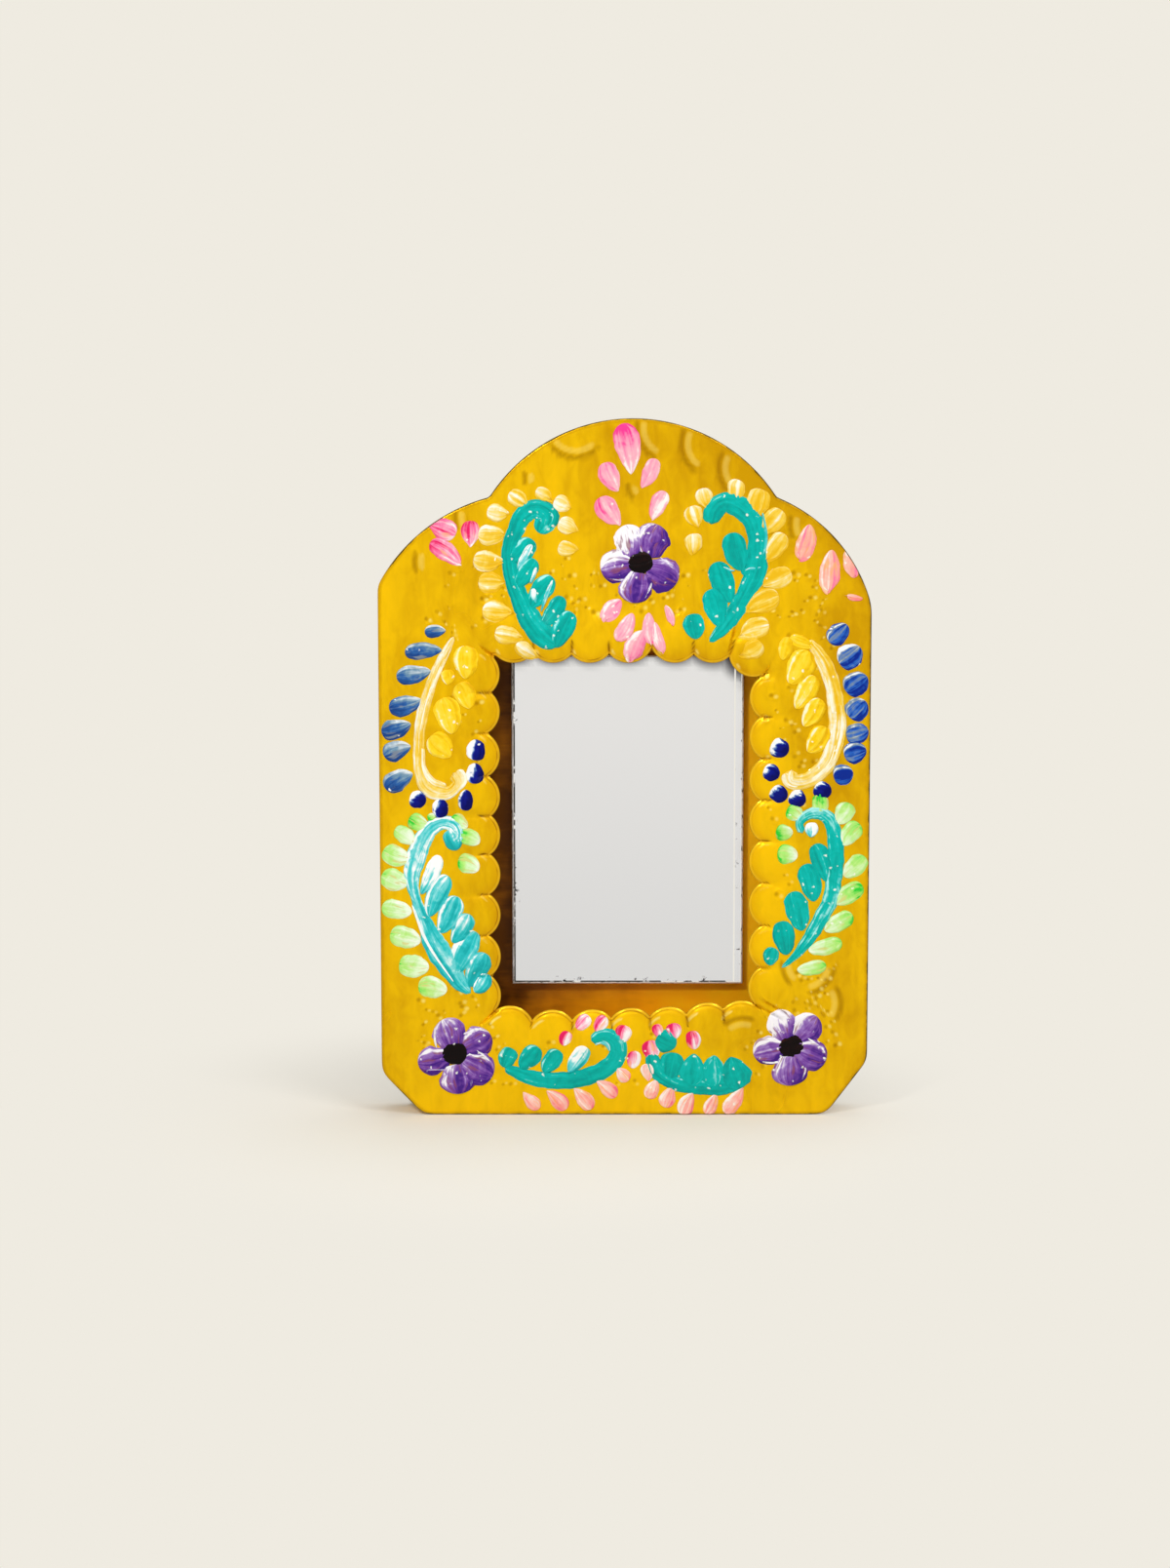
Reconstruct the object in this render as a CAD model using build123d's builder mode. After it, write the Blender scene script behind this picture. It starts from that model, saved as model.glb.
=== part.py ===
"""Arched wall mirror of thin tinplate: a shallow soldered case with a scalloped window.

The case is a front sheet and a back plate, both with a turned lip all round, pushed over four
strips of tin that make its sides. The looking glass is glued to the back plate and is seen
through the window. A wire ring hangs in a folded strap behind the crest.

Frame: +Z up, +X to the right of someone facing the mirror, -Y out of its front. The origin is
the middle of the bounding box in X and Y, on the surface that the case stands on.
"""

import os
from math import atan, cos, degrees, radians, sin, sqrt

from build123d import *

os.makedirs("parts", exist_ok=True)

# ---------------------------------------------------------------------------
# Driving dimensions, in millimetres
# ---------------------------------------------------------------------------

# Tinplate and the case
tin = 0.4                     # thickness of every sheet and strip
case_width = 146.0
case_height = 208.0
case_depth = 16.0             # front face to back face of the plain case
lip_depth = 3.0               # turned edge of the front sheet and of the back plate
fold_bevel = 0.8              # flat that the mallet leaves along a turned edge
solder_gap = 0.05             # room for solder between a lip and the strip inside it

# Outline: crest, shoulders and cut corners, as snipped by hand
crest_shift = 2.4             # the crest stands this far right of the middle
crest_half_width = 42.3
crest_rise = 23.0             # notch to apex
left_shoulder_drop = 26.0     # notch to where the left shoulder meets the side
left_shoulder_bulge = 4.4
right_shoulder_drop = 32.0
right_shoulder_bulge = 5.1
corner_cut_width = 12.4
left_corner_cut_height = 13.0
right_corner_cut_height = 16.5
corner_softness = 6.0         # radius at both ends of a cut corner
left_shoulder_softness = 5.0
right_shoulder_softness = 16.0

# Window and its beaten lobes
window_width = 73.4           # clear width, tip to tip
window_height = 102.5         # clear height, tip to tip
window_sill = 32.6            # bottom of the clear opening, above the base
window_corner = 6.0           # corner radius of the plain opening under the lobes
hem = 5.0                     # tips of the lobes to the plain opening under them
lobe_radius = 7.4
lobe_height = 2.4             # how far a lobe is beaten out of the sheet
lobe_rim = 2.0                # edge of a lobe to the hollow behind it
lobe_crown = 2.5              # radius of the hollow's flat end
lobe_inset = 2.0              # end lobes of a row start this far in from the clear corner
lobes_per_side = 9
lobes_per_row = 7

# Crescents punched along the crest
crescent_count = 5
crescent_radius = 7.5
crescent_sweep = 110.0        # degrees
crescent_width = 2.0
crescent_height = 0.7
crescent_belly = 6.4          # lowest point of a crescent, in from the edge of the crest
crescent_start = 48.0         # degrees about the middle of the crest, from +X
crescent_spacing = 16.0       # degrees

# Looking glass
glass_width = 70.0
glass_height = 100.0
glass_thickness = 3.0
glass_recess = 12.0           # front face of the case to the face of the glass
glass_shift = 1.0             # glued a little right of the middle
glass_sill = 37.8
glass_edge = 0.6              # ground edge
glue_spot_radius = 7.0        # a dab of glue, squeezed out unevenly
glue_spot_sides = 10
glue_spot_inset = 14.0        # middle of a corner spot from the edges of the glass

# Hanger
strap_width = 11.0
strap_length = 13.0           # flat part above the curl
wire_radius = 0.8
ring_clearance = 0.06         # wire to curl
strap_stand_off = 0.1         # curl to back plate
ring_width = 20.0             # middle of wire to middle of wire
ring_height = 14.0
ring_corner = 2.5
bow_runs = 5                  # the pliers leave the bow in short straight runs
hinge_drop = 30.0             # apex to the straight leg of the ring

# Solder
tack_leg = 1.6                # side of a tack's triangle
tack_length = 5.0
tacks_per_seam = 10
joint_gap = 0.1               # between the ends of two strips

# ---------------------------------------------------------------------------
# Values worked out from them
# ---------------------------------------------------------------------------

curl_bore = wire_radius + ring_clearance
curl_radius = curl_bore + tin
hanger_depth = strap_stand_off + 2 * curl_radius
total_depth = lobe_height + case_depth + hanger_depth

front_y = -total_depth / 2 + lobe_height
back_y = front_y + case_depth
glass_y = front_y + glass_recess
plate_y = back_y - tin        # inner face of the back plate
leg_y = back_y + strap_stand_off + curl_radius
hinge_height = case_height - hinge_drop

half_width = case_width / 2
notch_height = case_height - crest_rise
crest_radius = (crest_half_width**2 + crest_rise**2) / (2 * crest_rise)
inner_bevel = fold_bevel - tin * (2 - sqrt(2))
fold_reach = tin + inner_bevel
strip_inset = tin + solder_gap
cavity_inset = strip_inset + tin

window_middle = window_sill + window_height / 2
side_pitch = (window_height - 2 * lobe_inset) / (lobes_per_side - 1)
row_pitch = (window_width - 2 * lobe_inset) / (lobes_per_row - 1)


def plane_at(y):
    """A drawing plane seen from the front: local x is +X, local y is +Z."""
    return Plane.XZ.offset(-y)


# ---------------------------------------------------------------------------
# Outline
# ---------------------------------------------------------------------------

left_notch = (crest_shift - crest_half_width, notch_height)
right_notch = (crest_shift + crest_half_width, notch_height)
apex = (crest_shift, case_height)
left_shoulder = (-half_width, notch_height - left_shoulder_drop)
right_shoulder = (half_width, notch_height - right_shoulder_drop)
left_corner = (-half_width, left_corner_cut_height)
right_corner = (half_width, right_corner_cut_height)
left_foot = (-half_width + corner_cut_width, 0)
right_foot = (half_width - corner_cut_width, 0)


def corner_at(sketch, point):
    """The corner of a sketch that stands at a point."""
    return sketch.vertices().sort_by_distance(Vector(*point))[0]


with BuildSketch() as outline:
    with BuildLine():
        ThreePointArc(left_notch, apex, right_notch)
        SagittaArc(right_notch, right_shoulder, right_shoulder_bulge)
        Polyline(right_shoulder, right_corner, right_foot, left_foot, left_corner, left_shoulder)
        SagittaArc(left_shoulder, left_notch, left_shoulder_bulge)
    make_face()
    for corner, softness in (
        (left_shoulder, left_shoulder_softness),
        (right_shoulder, right_shoulder_softness),
        (left_corner, corner_softness),
        (right_corner, corner_softness),
        (left_foot, corner_softness),
        (right_foot, corner_softness),
    ):
        fillet(corner_at(outline, corner), softness)


def inset_outline(inset):
    """The outline moved inwards."""
    with BuildSketch() as smaller:
        add(outline.sketch)
        offset(amount=-inset)
    return smaller.sketch


# ---------------------------------------------------------------------------
# Sheets with a turned lip
# ---------------------------------------------------------------------------

# What the lip encloses: its bevel is as far inside the outer one as the sheet is thick.
with BuildPart() as lip_hollow:
    with BuildSketch(plane_at(front_y + tin)):
        add(inset_outline(tin))
    extrude(amount=-(lip_depth - tin))
    chamfer(lip_hollow.faces().sort_by(Axis.Y)[0].edges(), inner_bevel)

with BuildPart() as lipped_sheet:
    with BuildSketch(plane_at(front_y)):
        add(outline.sketch)
    extrude(amount=-lip_depth)
    chamfer(lipped_sheet.faces().sort_by(Axis.Y)[0].edges(), fold_bevel)
    add(lip_hollow.part, mode=Mode.SUBTRACT)


# ---------------------------------------------------------------------------
# Front sheet: window, lobes and crescents
# ---------------------------------------------------------------------------

lobe_depth = lobe_height + tin
sphere_radius = (lobe_radius**2 + lobe_depth**2) / (2 * lobe_depth)
hollow_radius = lobe_radius - lobe_rim
hollow_depth = lobe_depth - 2 * tin
hollow_taper = degrees(atan((hollow_radius - lobe_crown) / hollow_depth))


def lobe():
    """A cap of a sphere, standing on the back face of the sheet."""
    with BuildPart() as cap:
        with Locations((0, 0, lobe_depth - sphere_radius)):
            Sphere(sphere_radius, rotation=(90, 0, 0))
        split(bisect_by=Plane.XY, keep=Keep.TOP)
    return cap.part


def lobe_hollow():
    """The hollow that the punch leaves behind a lobe."""
    with BuildPart() as punch:
        with BuildSketch():
            RegularPolygon(hollow_radius, 8)
        extrude(amount=hollow_depth, taper=hollow_taper)
    return punch.part


def crescent():
    """A raised bead, bent to part of a circle that opens towards local +X."""
    inner_edge = crescent_radius - crescent_width / 2
    outer_edge = crescent_radius + crescent_width / 2
    start = Vector(1, 0, 0).rotate(Axis.Z, 180 - crescent_sweep / 2)
    start_plane = Plane(origin=(0, 0, 0), x_dir=start, z_dir=start.cross(Vector(0, 0, 1)))
    with BuildPart() as bead:
        with BuildSketch(start_plane):
            with BuildLine():
                Polyline(
                    (inner_edge, 0),
                    (crescent_radius, crescent_height),
                    (outer_edge, 0),
                    close=True,
                )
            make_face()
        revolve(axis=Axis.Z, revolution_arc=crescent_sweep)
    return bead.part


def lobe_places():
    """The middles of the lobes, in the plane of the sheet."""
    with Locations((0, window_middle)):
        with GridLocations(
            window_width + 2 * lobe_radius, side_pitch, 2, lobes_per_side
        ) as sides:
            places = list(sides.locations)
        with GridLocations(
            row_pitch, window_height + 2 * lobe_radius, lobes_per_row, 2
        ) as rows:
            places += list(rows.locations)
    return places


lobe_spots = lobe_places()

with BuildPart() as front_sheet:
    add(lipped_sheet.part)
    with BuildSketch(plane_at(front_y)):
        with Locations((0, window_middle)):
            RectangleRounded(window_width + 2 * hem, window_height + 2 * hem, window_corner)
    extrude(amount=-tin, mode=Mode.SUBTRACT)
    with Locations(plane_at(front_y + tin)):
        with Locations(*lobe_spots):
            add(lobe())
            add(lobe_hollow(), mode=Mode.SUBTRACT)
    with Locations(plane_at(front_y)):
        with Locations((crest_shift, case_height - crest_radius)):
            with PolarLocations(
                crest_radius - crescent_belly + crescent_radius,
                crescent_count,
                crescent_start,
                crescent_spacing * (crescent_count - 1),
                endpoint=True,
            ):
                add(crescent())
front_sheet.part.label = "front_sheet"
export_step(front_sheet.part, "parts/front_sheet.step")


# ---------------------------------------------------------------------------
# Back plate
# ---------------------------------------------------------------------------

with BuildPart() as back_plate:
    mirror(lipped_sheet.part, about=plane_at(front_y + case_depth / 2))
back_plate.part.label = "back_plate"
export_step(back_plate.part, "parts/back_plate.step")


# ---------------------------------------------------------------------------
# Side strips, cut at the notches and beside the feet
# ---------------------------------------------------------------------------

strip_depth = case_depth - 2 * fold_reach

with BuildPart() as strips:
    with BuildSketch(plane_at(front_y + fold_reach)):
        add(inset_outline(strip_inset))
        add(inset_outline(cavity_inset), mode=Mode.SUBTRACT)
    extrude(amount=-strip_depth)
    with BuildSketch(plane_at(front_y + fold_reach)):
        with Locations(left_notch, right_notch):
            Rectangle(4 * cavity_inset, joint_gap)
        with Locations(
            (left_foot[0] + corner_softness, 0), (right_foot[0] - corner_softness, 0)
        ):
            Rectangle(joint_gap, 4 * cavity_inset)
    extrude(amount=-strip_depth, mode=Mode.SUBTRACT)

base_strip, *side_strips, crest_strip = strips.solids().sort_by(Axis.Z)
left_strip, right_strip = ShapeList(side_strips).sort_by(Axis.X)

for strip_name, strip in (
    ("base_band", base_strip),
    ("left_band", left_strip),
    ("right_band", right_strip),
    ("crest_band", crest_strip),
):
    with BuildPart() as band:
        add(strip)
    band.part.label = strip_name
    export_step(band.part, f"parts/{strip_name}.step")


# ---------------------------------------------------------------------------
# Solder inside the case, along the front and back seams
# ---------------------------------------------------------------------------

with BuildPart() as cavity:
    with BuildSketch(plane_at(front_y + tin)):
        add(inset_outline(cavity_inset))
    extrude(amount=-(case_depth - 2 * tin))

cavity_edge = inset_outline(cavity_inset).face().outer_wire()
tack_places = [
    cavity_edge.location_at((tack + 0.5) / tacks_per_seam) for tack in range(tacks_per_seam)
]

# A square bar laid cornerwise along the seam: the case cuts it down to a triangle.
tack_side = tack_leg * sqrt(2)
with BuildPart() as seam_solder:
    for seam_y in (front_y + tin, plate_y):
        with Locations(plane_at(seam_y)):
            with Locations(*tack_places):
                Box(tack_side, tack_side, tack_length, rotation=(0, 0, 45))
    add(cavity.part, mode=Mode.INTERSECT)
    add([front_sheet.part, back_plate.part], mode=Mode.SUBTRACT)
seam_solder.part.label = "seam_solder"
export_step(seam_solder.part, "parts/seam_solder.step")


# ---------------------------------------------------------------------------
# Looking glass and the glue behind it
# ---------------------------------------------------------------------------

glass_middle = glass_sill + glass_height / 2
glue_thickness = case_depth - tin - glass_recess - glass_thickness

with BuildPart() as mirror_glass:
    with BuildSketch(plane_at(glass_y)):
        with Locations((glass_shift, glass_middle)):
            Rectangle(glass_width, glass_height)
    extrude(amount=-glass_thickness)
    chamfer(mirror_glass.faces().sort_by(Axis.Y)[0].edges(), glass_edge)
mirror_glass.part.label = "mirror_glass"
export_step(mirror_glass.part, "parts/mirror_glass.step")

with BuildPart() as glue_spots:
    with BuildSketch(plane_at(glass_y + glass_thickness)):
        with Locations((glass_shift, glass_middle)):
            RegularPolygon(glue_spot_radius, glue_spot_sides)
            with GridLocations(
                glass_width - 2 * glue_spot_inset, glass_height - 2 * glue_spot_inset, 2, 2
            ):
                RegularPolygon(glue_spot_radius, glue_spot_sides)
    extrude(amount=-glue_thickness)
glue_spots.part.label = "glue_spots"
export_step(glue_spots.part, "parts/glue_spots.step")


# ---------------------------------------------------------------------------
# Hanger: a strap folded round the straight leg of a wire ring
# ---------------------------------------------------------------------------

with BuildPart() as hanger_strap:
    with BuildSketch(Plane.YZ.offset(-strap_width / 2)):
        with Locations((leg_y, hinge_height)):
            Circle(curl_radius)
        with Locations((back_y, hinge_height)):
            Rectangle(2 * tin, strap_length, align=Align.MIN)
        with Locations((leg_y, hinge_height)):
            Circle(curl_bore, mode=Mode.SUBTRACT)
    extrude(amount=strap_width)
hanger_strap.part.label = "hanger_strap"
export_step(hanger_strap.part, "parts/hanger_strap.step")

half_ring = ring_width / 2
bow_centre = hinge_height - ring_height + half_ring
bow_points = [
    (
        half_ring * cos(radians(180 * run / bow_runs)),
        bow_centre - half_ring * sin(radians(180 * run / bow_runs)),
    )
    for run in range(bow_runs + 1)
]
with BuildPart() as hanger_ring:
    with BuildLine(plane_at(leg_y)) as ring_path:
        Polyline(
            (-half_ring + ring_corner, hinge_height),
            (half_ring - ring_corner, hinge_height),
            (half_ring, hinge_height - ring_corner),
            *bow_points,
            (-half_ring, hinge_height - ring_corner),
            close=True,
        )
    with BuildSketch(Plane(origin=(0, leg_y, hinge_height), z_dir=(1, 0, 0))):
        Circle(wire_radius)
    sweep(path=ring_path.wires()[0], transition=Transition.RIGHT)
hanger_ring.part.label = "hanger_ring"
export_step(hanger_ring.part, "parts/hanger_ring.step")


# Solder beads along both edges of the strap's flat part, as high as the strap is thick
bead_radius = 2 * tin
with BuildPart() as strap_solder:
    with BuildSketch(Plane.XY.offset(hinge_height + curl_radius)):
        with Locations((strap_width / 2, back_y)):
            Circle(bead_radius)
            Rectangle(bead_radius, bead_radius, align=Align.MIN, mode=Mode.INTERSECT)
    extrude(amount=strap_length - curl_radius)
    mirror(about=Plane.YZ)
strap_solder.part.label = "strap_solder"
export_step(strap_solder.part, "parts/strap_solder.step")
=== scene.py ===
"""The looks of an arched tin wall mirror: beaten scallops, glossy enamel, brushed folk flowers."""

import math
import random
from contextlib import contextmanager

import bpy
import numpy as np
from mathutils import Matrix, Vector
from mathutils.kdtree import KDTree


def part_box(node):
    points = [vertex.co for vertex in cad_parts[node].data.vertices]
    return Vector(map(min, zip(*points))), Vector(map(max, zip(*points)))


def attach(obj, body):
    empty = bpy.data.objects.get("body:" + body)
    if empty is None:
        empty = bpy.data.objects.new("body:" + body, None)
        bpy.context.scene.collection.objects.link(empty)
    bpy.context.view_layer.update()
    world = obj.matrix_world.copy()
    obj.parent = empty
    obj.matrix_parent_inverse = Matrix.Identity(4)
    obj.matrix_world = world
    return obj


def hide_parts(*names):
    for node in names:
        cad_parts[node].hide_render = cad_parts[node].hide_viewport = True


bl_info = {
    "name": "Painted Tin Mirror",
    "version": (1, 0, 0),
    "blender": (4, 5, 0),
    "location": "3D View > Sidebar > Tin Mirror",
    "description": "Models a beaten and painted tin mirror round its packed frame",
    "category": "Add Mesh",
}

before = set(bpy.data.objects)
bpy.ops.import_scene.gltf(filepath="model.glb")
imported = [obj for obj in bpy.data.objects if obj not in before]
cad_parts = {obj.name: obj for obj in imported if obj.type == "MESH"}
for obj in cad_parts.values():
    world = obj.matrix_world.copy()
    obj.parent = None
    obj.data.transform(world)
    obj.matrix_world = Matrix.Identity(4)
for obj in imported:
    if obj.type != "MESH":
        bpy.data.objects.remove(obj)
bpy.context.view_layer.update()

MM = 0.001
SEAM = 0.004            # vertices nearer than this are one, in mm
TINY = 1e-6             # a length under this counts as none

# ---------------------------------------------------------------------------
# Places read from the frame, in mm
# ---------------------------------------------------------------------------


def node_box(node):
    """The corners of a CAD node, in mm."""
    low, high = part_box(node)
    return low / MM, high / MM


SHEET_LOW, SHEET_HIGH = node_box("front_sheet")
BACK_LOW, BACK_HIGH = node_box("back_plate")
GLASS_LOW, GLASS_HIGH = node_box("mirror_glass")
RING_LOW, RING_HIGH = node_box("hanger_ring")

LIP = BACK_HIGH.y - BACK_LOW.y
FRONT = SHEET_HIGH.y - LIP
BACK = BACK_HIGH.y

# ---------------------------------------------------------------------------
# What a user would change
# ---------------------------------------------------------------------------


def length(name, description, default):
    """A length in metres, its default given in mm."""
    return bpy.props.FloatProperty(
        name=name, description=description, default=default * MM, precision=5,
        subtype="DISTANCE", unit="LENGTH",
    )


def colour(name, description, default):
    """A colour, its default given as a hex number as painters' charts do."""
    return bpy.props.FloatVectorProperty(
        name=name, description=description, default=linear(default),
        subtype="COLOR", size=4, min=0, max=1,
    )


def linear(code):
    """A hex colour as linear RGBA."""
    channels = [((code >> shift) & 255) / 255 for shift in (16, 8, 0)]
    return tuple(
        c / 12.92 if c <= 0.04045 else ((c + 0.055) / 1.055) ** 2.4 for c in channels
    ) + (1.0,)


def tint(tone):
    """A hex number as a colour, and anything else as it is."""
    return linear(tone) if isinstance(tone, int) else tone


class SheetSettings(bpy.types.PropertyGroup):
    """The pressed front sheet"""

    tin: length("Tin", "Thickness of the tinplate", 0.4)
    lobe_radius: length("Lobe radius", "Radius of a beaten lobe's edge", 7.5)
    lobe_height: length("Lobe height", "How far a lobe stands out", 1.8)
    lobe_tail: length("Lobe tail", "How far behind its middle a lobe fades into the sheet", 11.0)
    fold_radius: length("Fold radius", "Outer radius of the turned edge", 0.7)
    dot_depth: length("Dot depth", "Depth of a punched dot", 0.38)
    dot_radius: length("Dot radius", "Radius of a punched dot", 1.05)
    crescent_height: length("Crescent height", "Height of a punched crescent", 0.22)
    crescent_width: length("Crescent width", "Width of a punched crescent", 3.4)
    unevenness: length("Unevenness", "Height of the slow waves in the tin", 0.14)
    yellow: colour("Yellow", "Body of the enamel", 0xEEBB06)
    ochre: colour("Ochre", "Enamel where it lies thicker", 0xD09A02)


class PaintSettings(bpy.types.PropertyGroup):
    """The brushwork"""

    body: length("Paint height", "Height of a full brush stroke", 0.5)
    sunk: length("Bite", "How far the underside of a stroke reaches into the enamel", 0.1)
    cream: colour("Cream", "Cream dabs", 0xFAE294)
    teal: colour("Teal", "Teal scrolls", 0x00B3A8)
    pale_teal: colour("Pale teal", "Light teal scroll", 0x2EC6CA)
    green: colour("Green", "Light green dabs", 0xBAEE80)
    blue: colour("Blue", "Long blue dabs", 0x2E62A8)
    navy: colour("Navy", "Round blue dots", 0x07168C)
    pink: colour("Pink", "Pink petals", 0xFF9DBB)
    violet: colour("Violet", "Violet flowers", 0x7A48A6)


class GlassSettings(bpy.types.PropertyGroup):
    """The looking glass"""

    bevel: length("Ground edge", "Width of the ground edge", 0.6)
    silver: colour("Silver", "Silvering", 0xF6F8FF)


class HangerSettings(bpy.types.PropertyGroup):
    """The hanger on the back"""

    wire: colour("Wire", "Ring wire", 0xA6A6A2)


class StageSettings(bpy.types.PropertyGroup):
    """Floor, light and camera"""

    paper: colour("Paper", "Floor and backdrop", 0xEFEBE1)
    camera_distance: length("Camera distance", "Camera to the middle of the case", 786.5)
    camera_height: length("Camera height", "Camera above the floor", 182.0)


# ---------------------------------------------------------------------------
# Small modelling helpers
# ---------------------------------------------------------------------------


def pick(*pieces):
    """Selects only these pieces, and makes the first the active one."""
    bpy.ops.object.select_all(action="DESELECT")
    for piece in pieces:
        piece.select_set(True)
    bpy.context.view_layer.objects.active = pieces[0]


def points_of(piece):
    """A piece's vertices as an array, in mm."""
    flat = np.zeros(len(piece.data.vertices) * 3)
    piece.data.vertices.foreach_get("co", flat)
    return flat.reshape(-1, 3) / MM


def place_points(piece, points):
    """Moves a piece's vertices to these points, given in mm."""
    piece.data.vertices.foreach_set("co", (points * MM).ravel())
    piece.data.update()


def add_grid(name, columns, rows):
    """A flat grid, with each vertex's share of the columns and of the rows."""
    bpy.ops.object.select_all(action="DESELECT")
    bpy.ops.mesh.primitive_grid_add(x_subdivisions=columns, y_subdivisions=rows, size=1)
    piece = bpy.context.active_object
    piece.name = name
    piece.data.name = name
    shares = points_of(piece)[:, :2] * MM + 0.5
    return piece, shares[:, 0], shares[:, 1]


def store(piece, name, values):
    """Keeps one number for each vertex, for the finish to read."""
    attribute = piece.data.attributes.new(name, "FLOAT", "POINT")
    attribute.data.foreach_set("value", np.asarray(values, np.float32))


@contextmanager
def editing(piece, select="SELECT"):
    """Edit mode for one piece, with everything in it selected, or nothing."""
    pick(piece)
    bpy.ops.object.mode_set(mode="EDIT")
    bpy.ops.mesh.select_all(action=select)
    yield
    bpy.ops.object.mode_set(mode="OBJECT")


def merge_and_turn_out(piece):
    """Closes the seams and turns every face outwards."""
    with editing(piece):
        bpy.ops.mesh.remove_doubles(threshold=SEAM * MM)
        bpy.ops.mesh.normals_make_consistent(inside=False)


def face_way(piece, way):
    """Turns an open sheet so that its faces look along Y, backwards for 1 and forwards for -1."""
    if way * sum(p.normal.y * p.area for p in piece.data.polygons) < 0:
        with editing(piece):
            bpy.ops.mesh.flip_normals()


def split_faces(piece, chosen, **how):
    """Cuts the chosen faces into smaller ones."""
    with editing(piece, "DESELECT"):
        bpy.ops.mesh.select_mode(type="FACE")
    piece.data.polygons.foreach_set("select", chosen)
    bpy.ops.object.mode_set(mode="EDIT")
    bpy.ops.mesh.subdivide(**how)
    bpy.ops.object.mode_set(mode="OBJECT")


def stacked(rings):
    """Rings, each a flat loop and its depth, as one array of (x, depth, z)."""
    return np.array([np.insert(flat, 1, depth, axis=1) for flat, depth in rings])


def add_rings(name, rings):
    """An open sheet through an array of closed rings of points."""
    count, columns = len(rings) - 1, rings.shape[1]
    piece, u, v = add_grid(name, columns, count)
    column = np.round(u * columns).astype(int) % columns
    row = np.round(v * count).astype(int)
    place_points(piece, rings[row, column])
    merge_and_turn_out(piece)
    return piece


def apply_modifier(piece, kind, **values):
    """Adds a modifier, sets it and applies it."""
    pick(piece)
    modifier = piece.modifiers.new(kind.title(), kind)
    for name, value in values.items():
        setattr(modifier, name, value)
    bpy.ops.object.modifier_apply(modifier=modifier.name)


def smooth(piece, angle):
    """Smooth shading, with sharp edges where faces meet at more than an angle."""
    pick(piece)
    bpy.ops.object.shade_smooth_by_angle(angle=math.radians(angle))


def finish_piece(piece, material, body, replaces=()):
    """Gives a piece its finish and its body, and hides the nodes that it stands for."""
    if material is not None:
        piece.data.materials.clear()
        piece.data.materials.append(material)
    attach(piece, body)
    if replaces:
        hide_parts(*replaces)


def smoothstep(t):
    """From 0 to 1 with level ends."""
    t = np.clip(t, 0, 1)
    return t * t * (3 - 2 * t)


def swell(t, width=1.0):
    """A bell, 1 at its middle."""
    return np.exp(-((t / width) ** 2))


def run_of(path):
    """How far each point lies along a path."""
    return np.concatenate([[0], np.cumsum(np.linalg.norm(np.diff(path, axis=0), axis=1))])


def unit(vectors):
    """Vectors brought to a length of 1."""
    return vectors / np.maximum(np.linalg.norm(vectors, axis=1), 1e-9)[:, None]


def off_to(x, z, radius, angle):
    """The place at a radius from (x, z), in the direction of an angle in radians."""
    return x + radius * np.cos(angle), z + radius * np.sin(angle)


def wrap(angle):
    """An angle from minus half a turn to half a turn."""
    return (angle + math.pi) % (2 * math.pi) - math.pi


# ---------------------------------------------------------------------------
# Finishes
# ---------------------------------------------------------------------------


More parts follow.
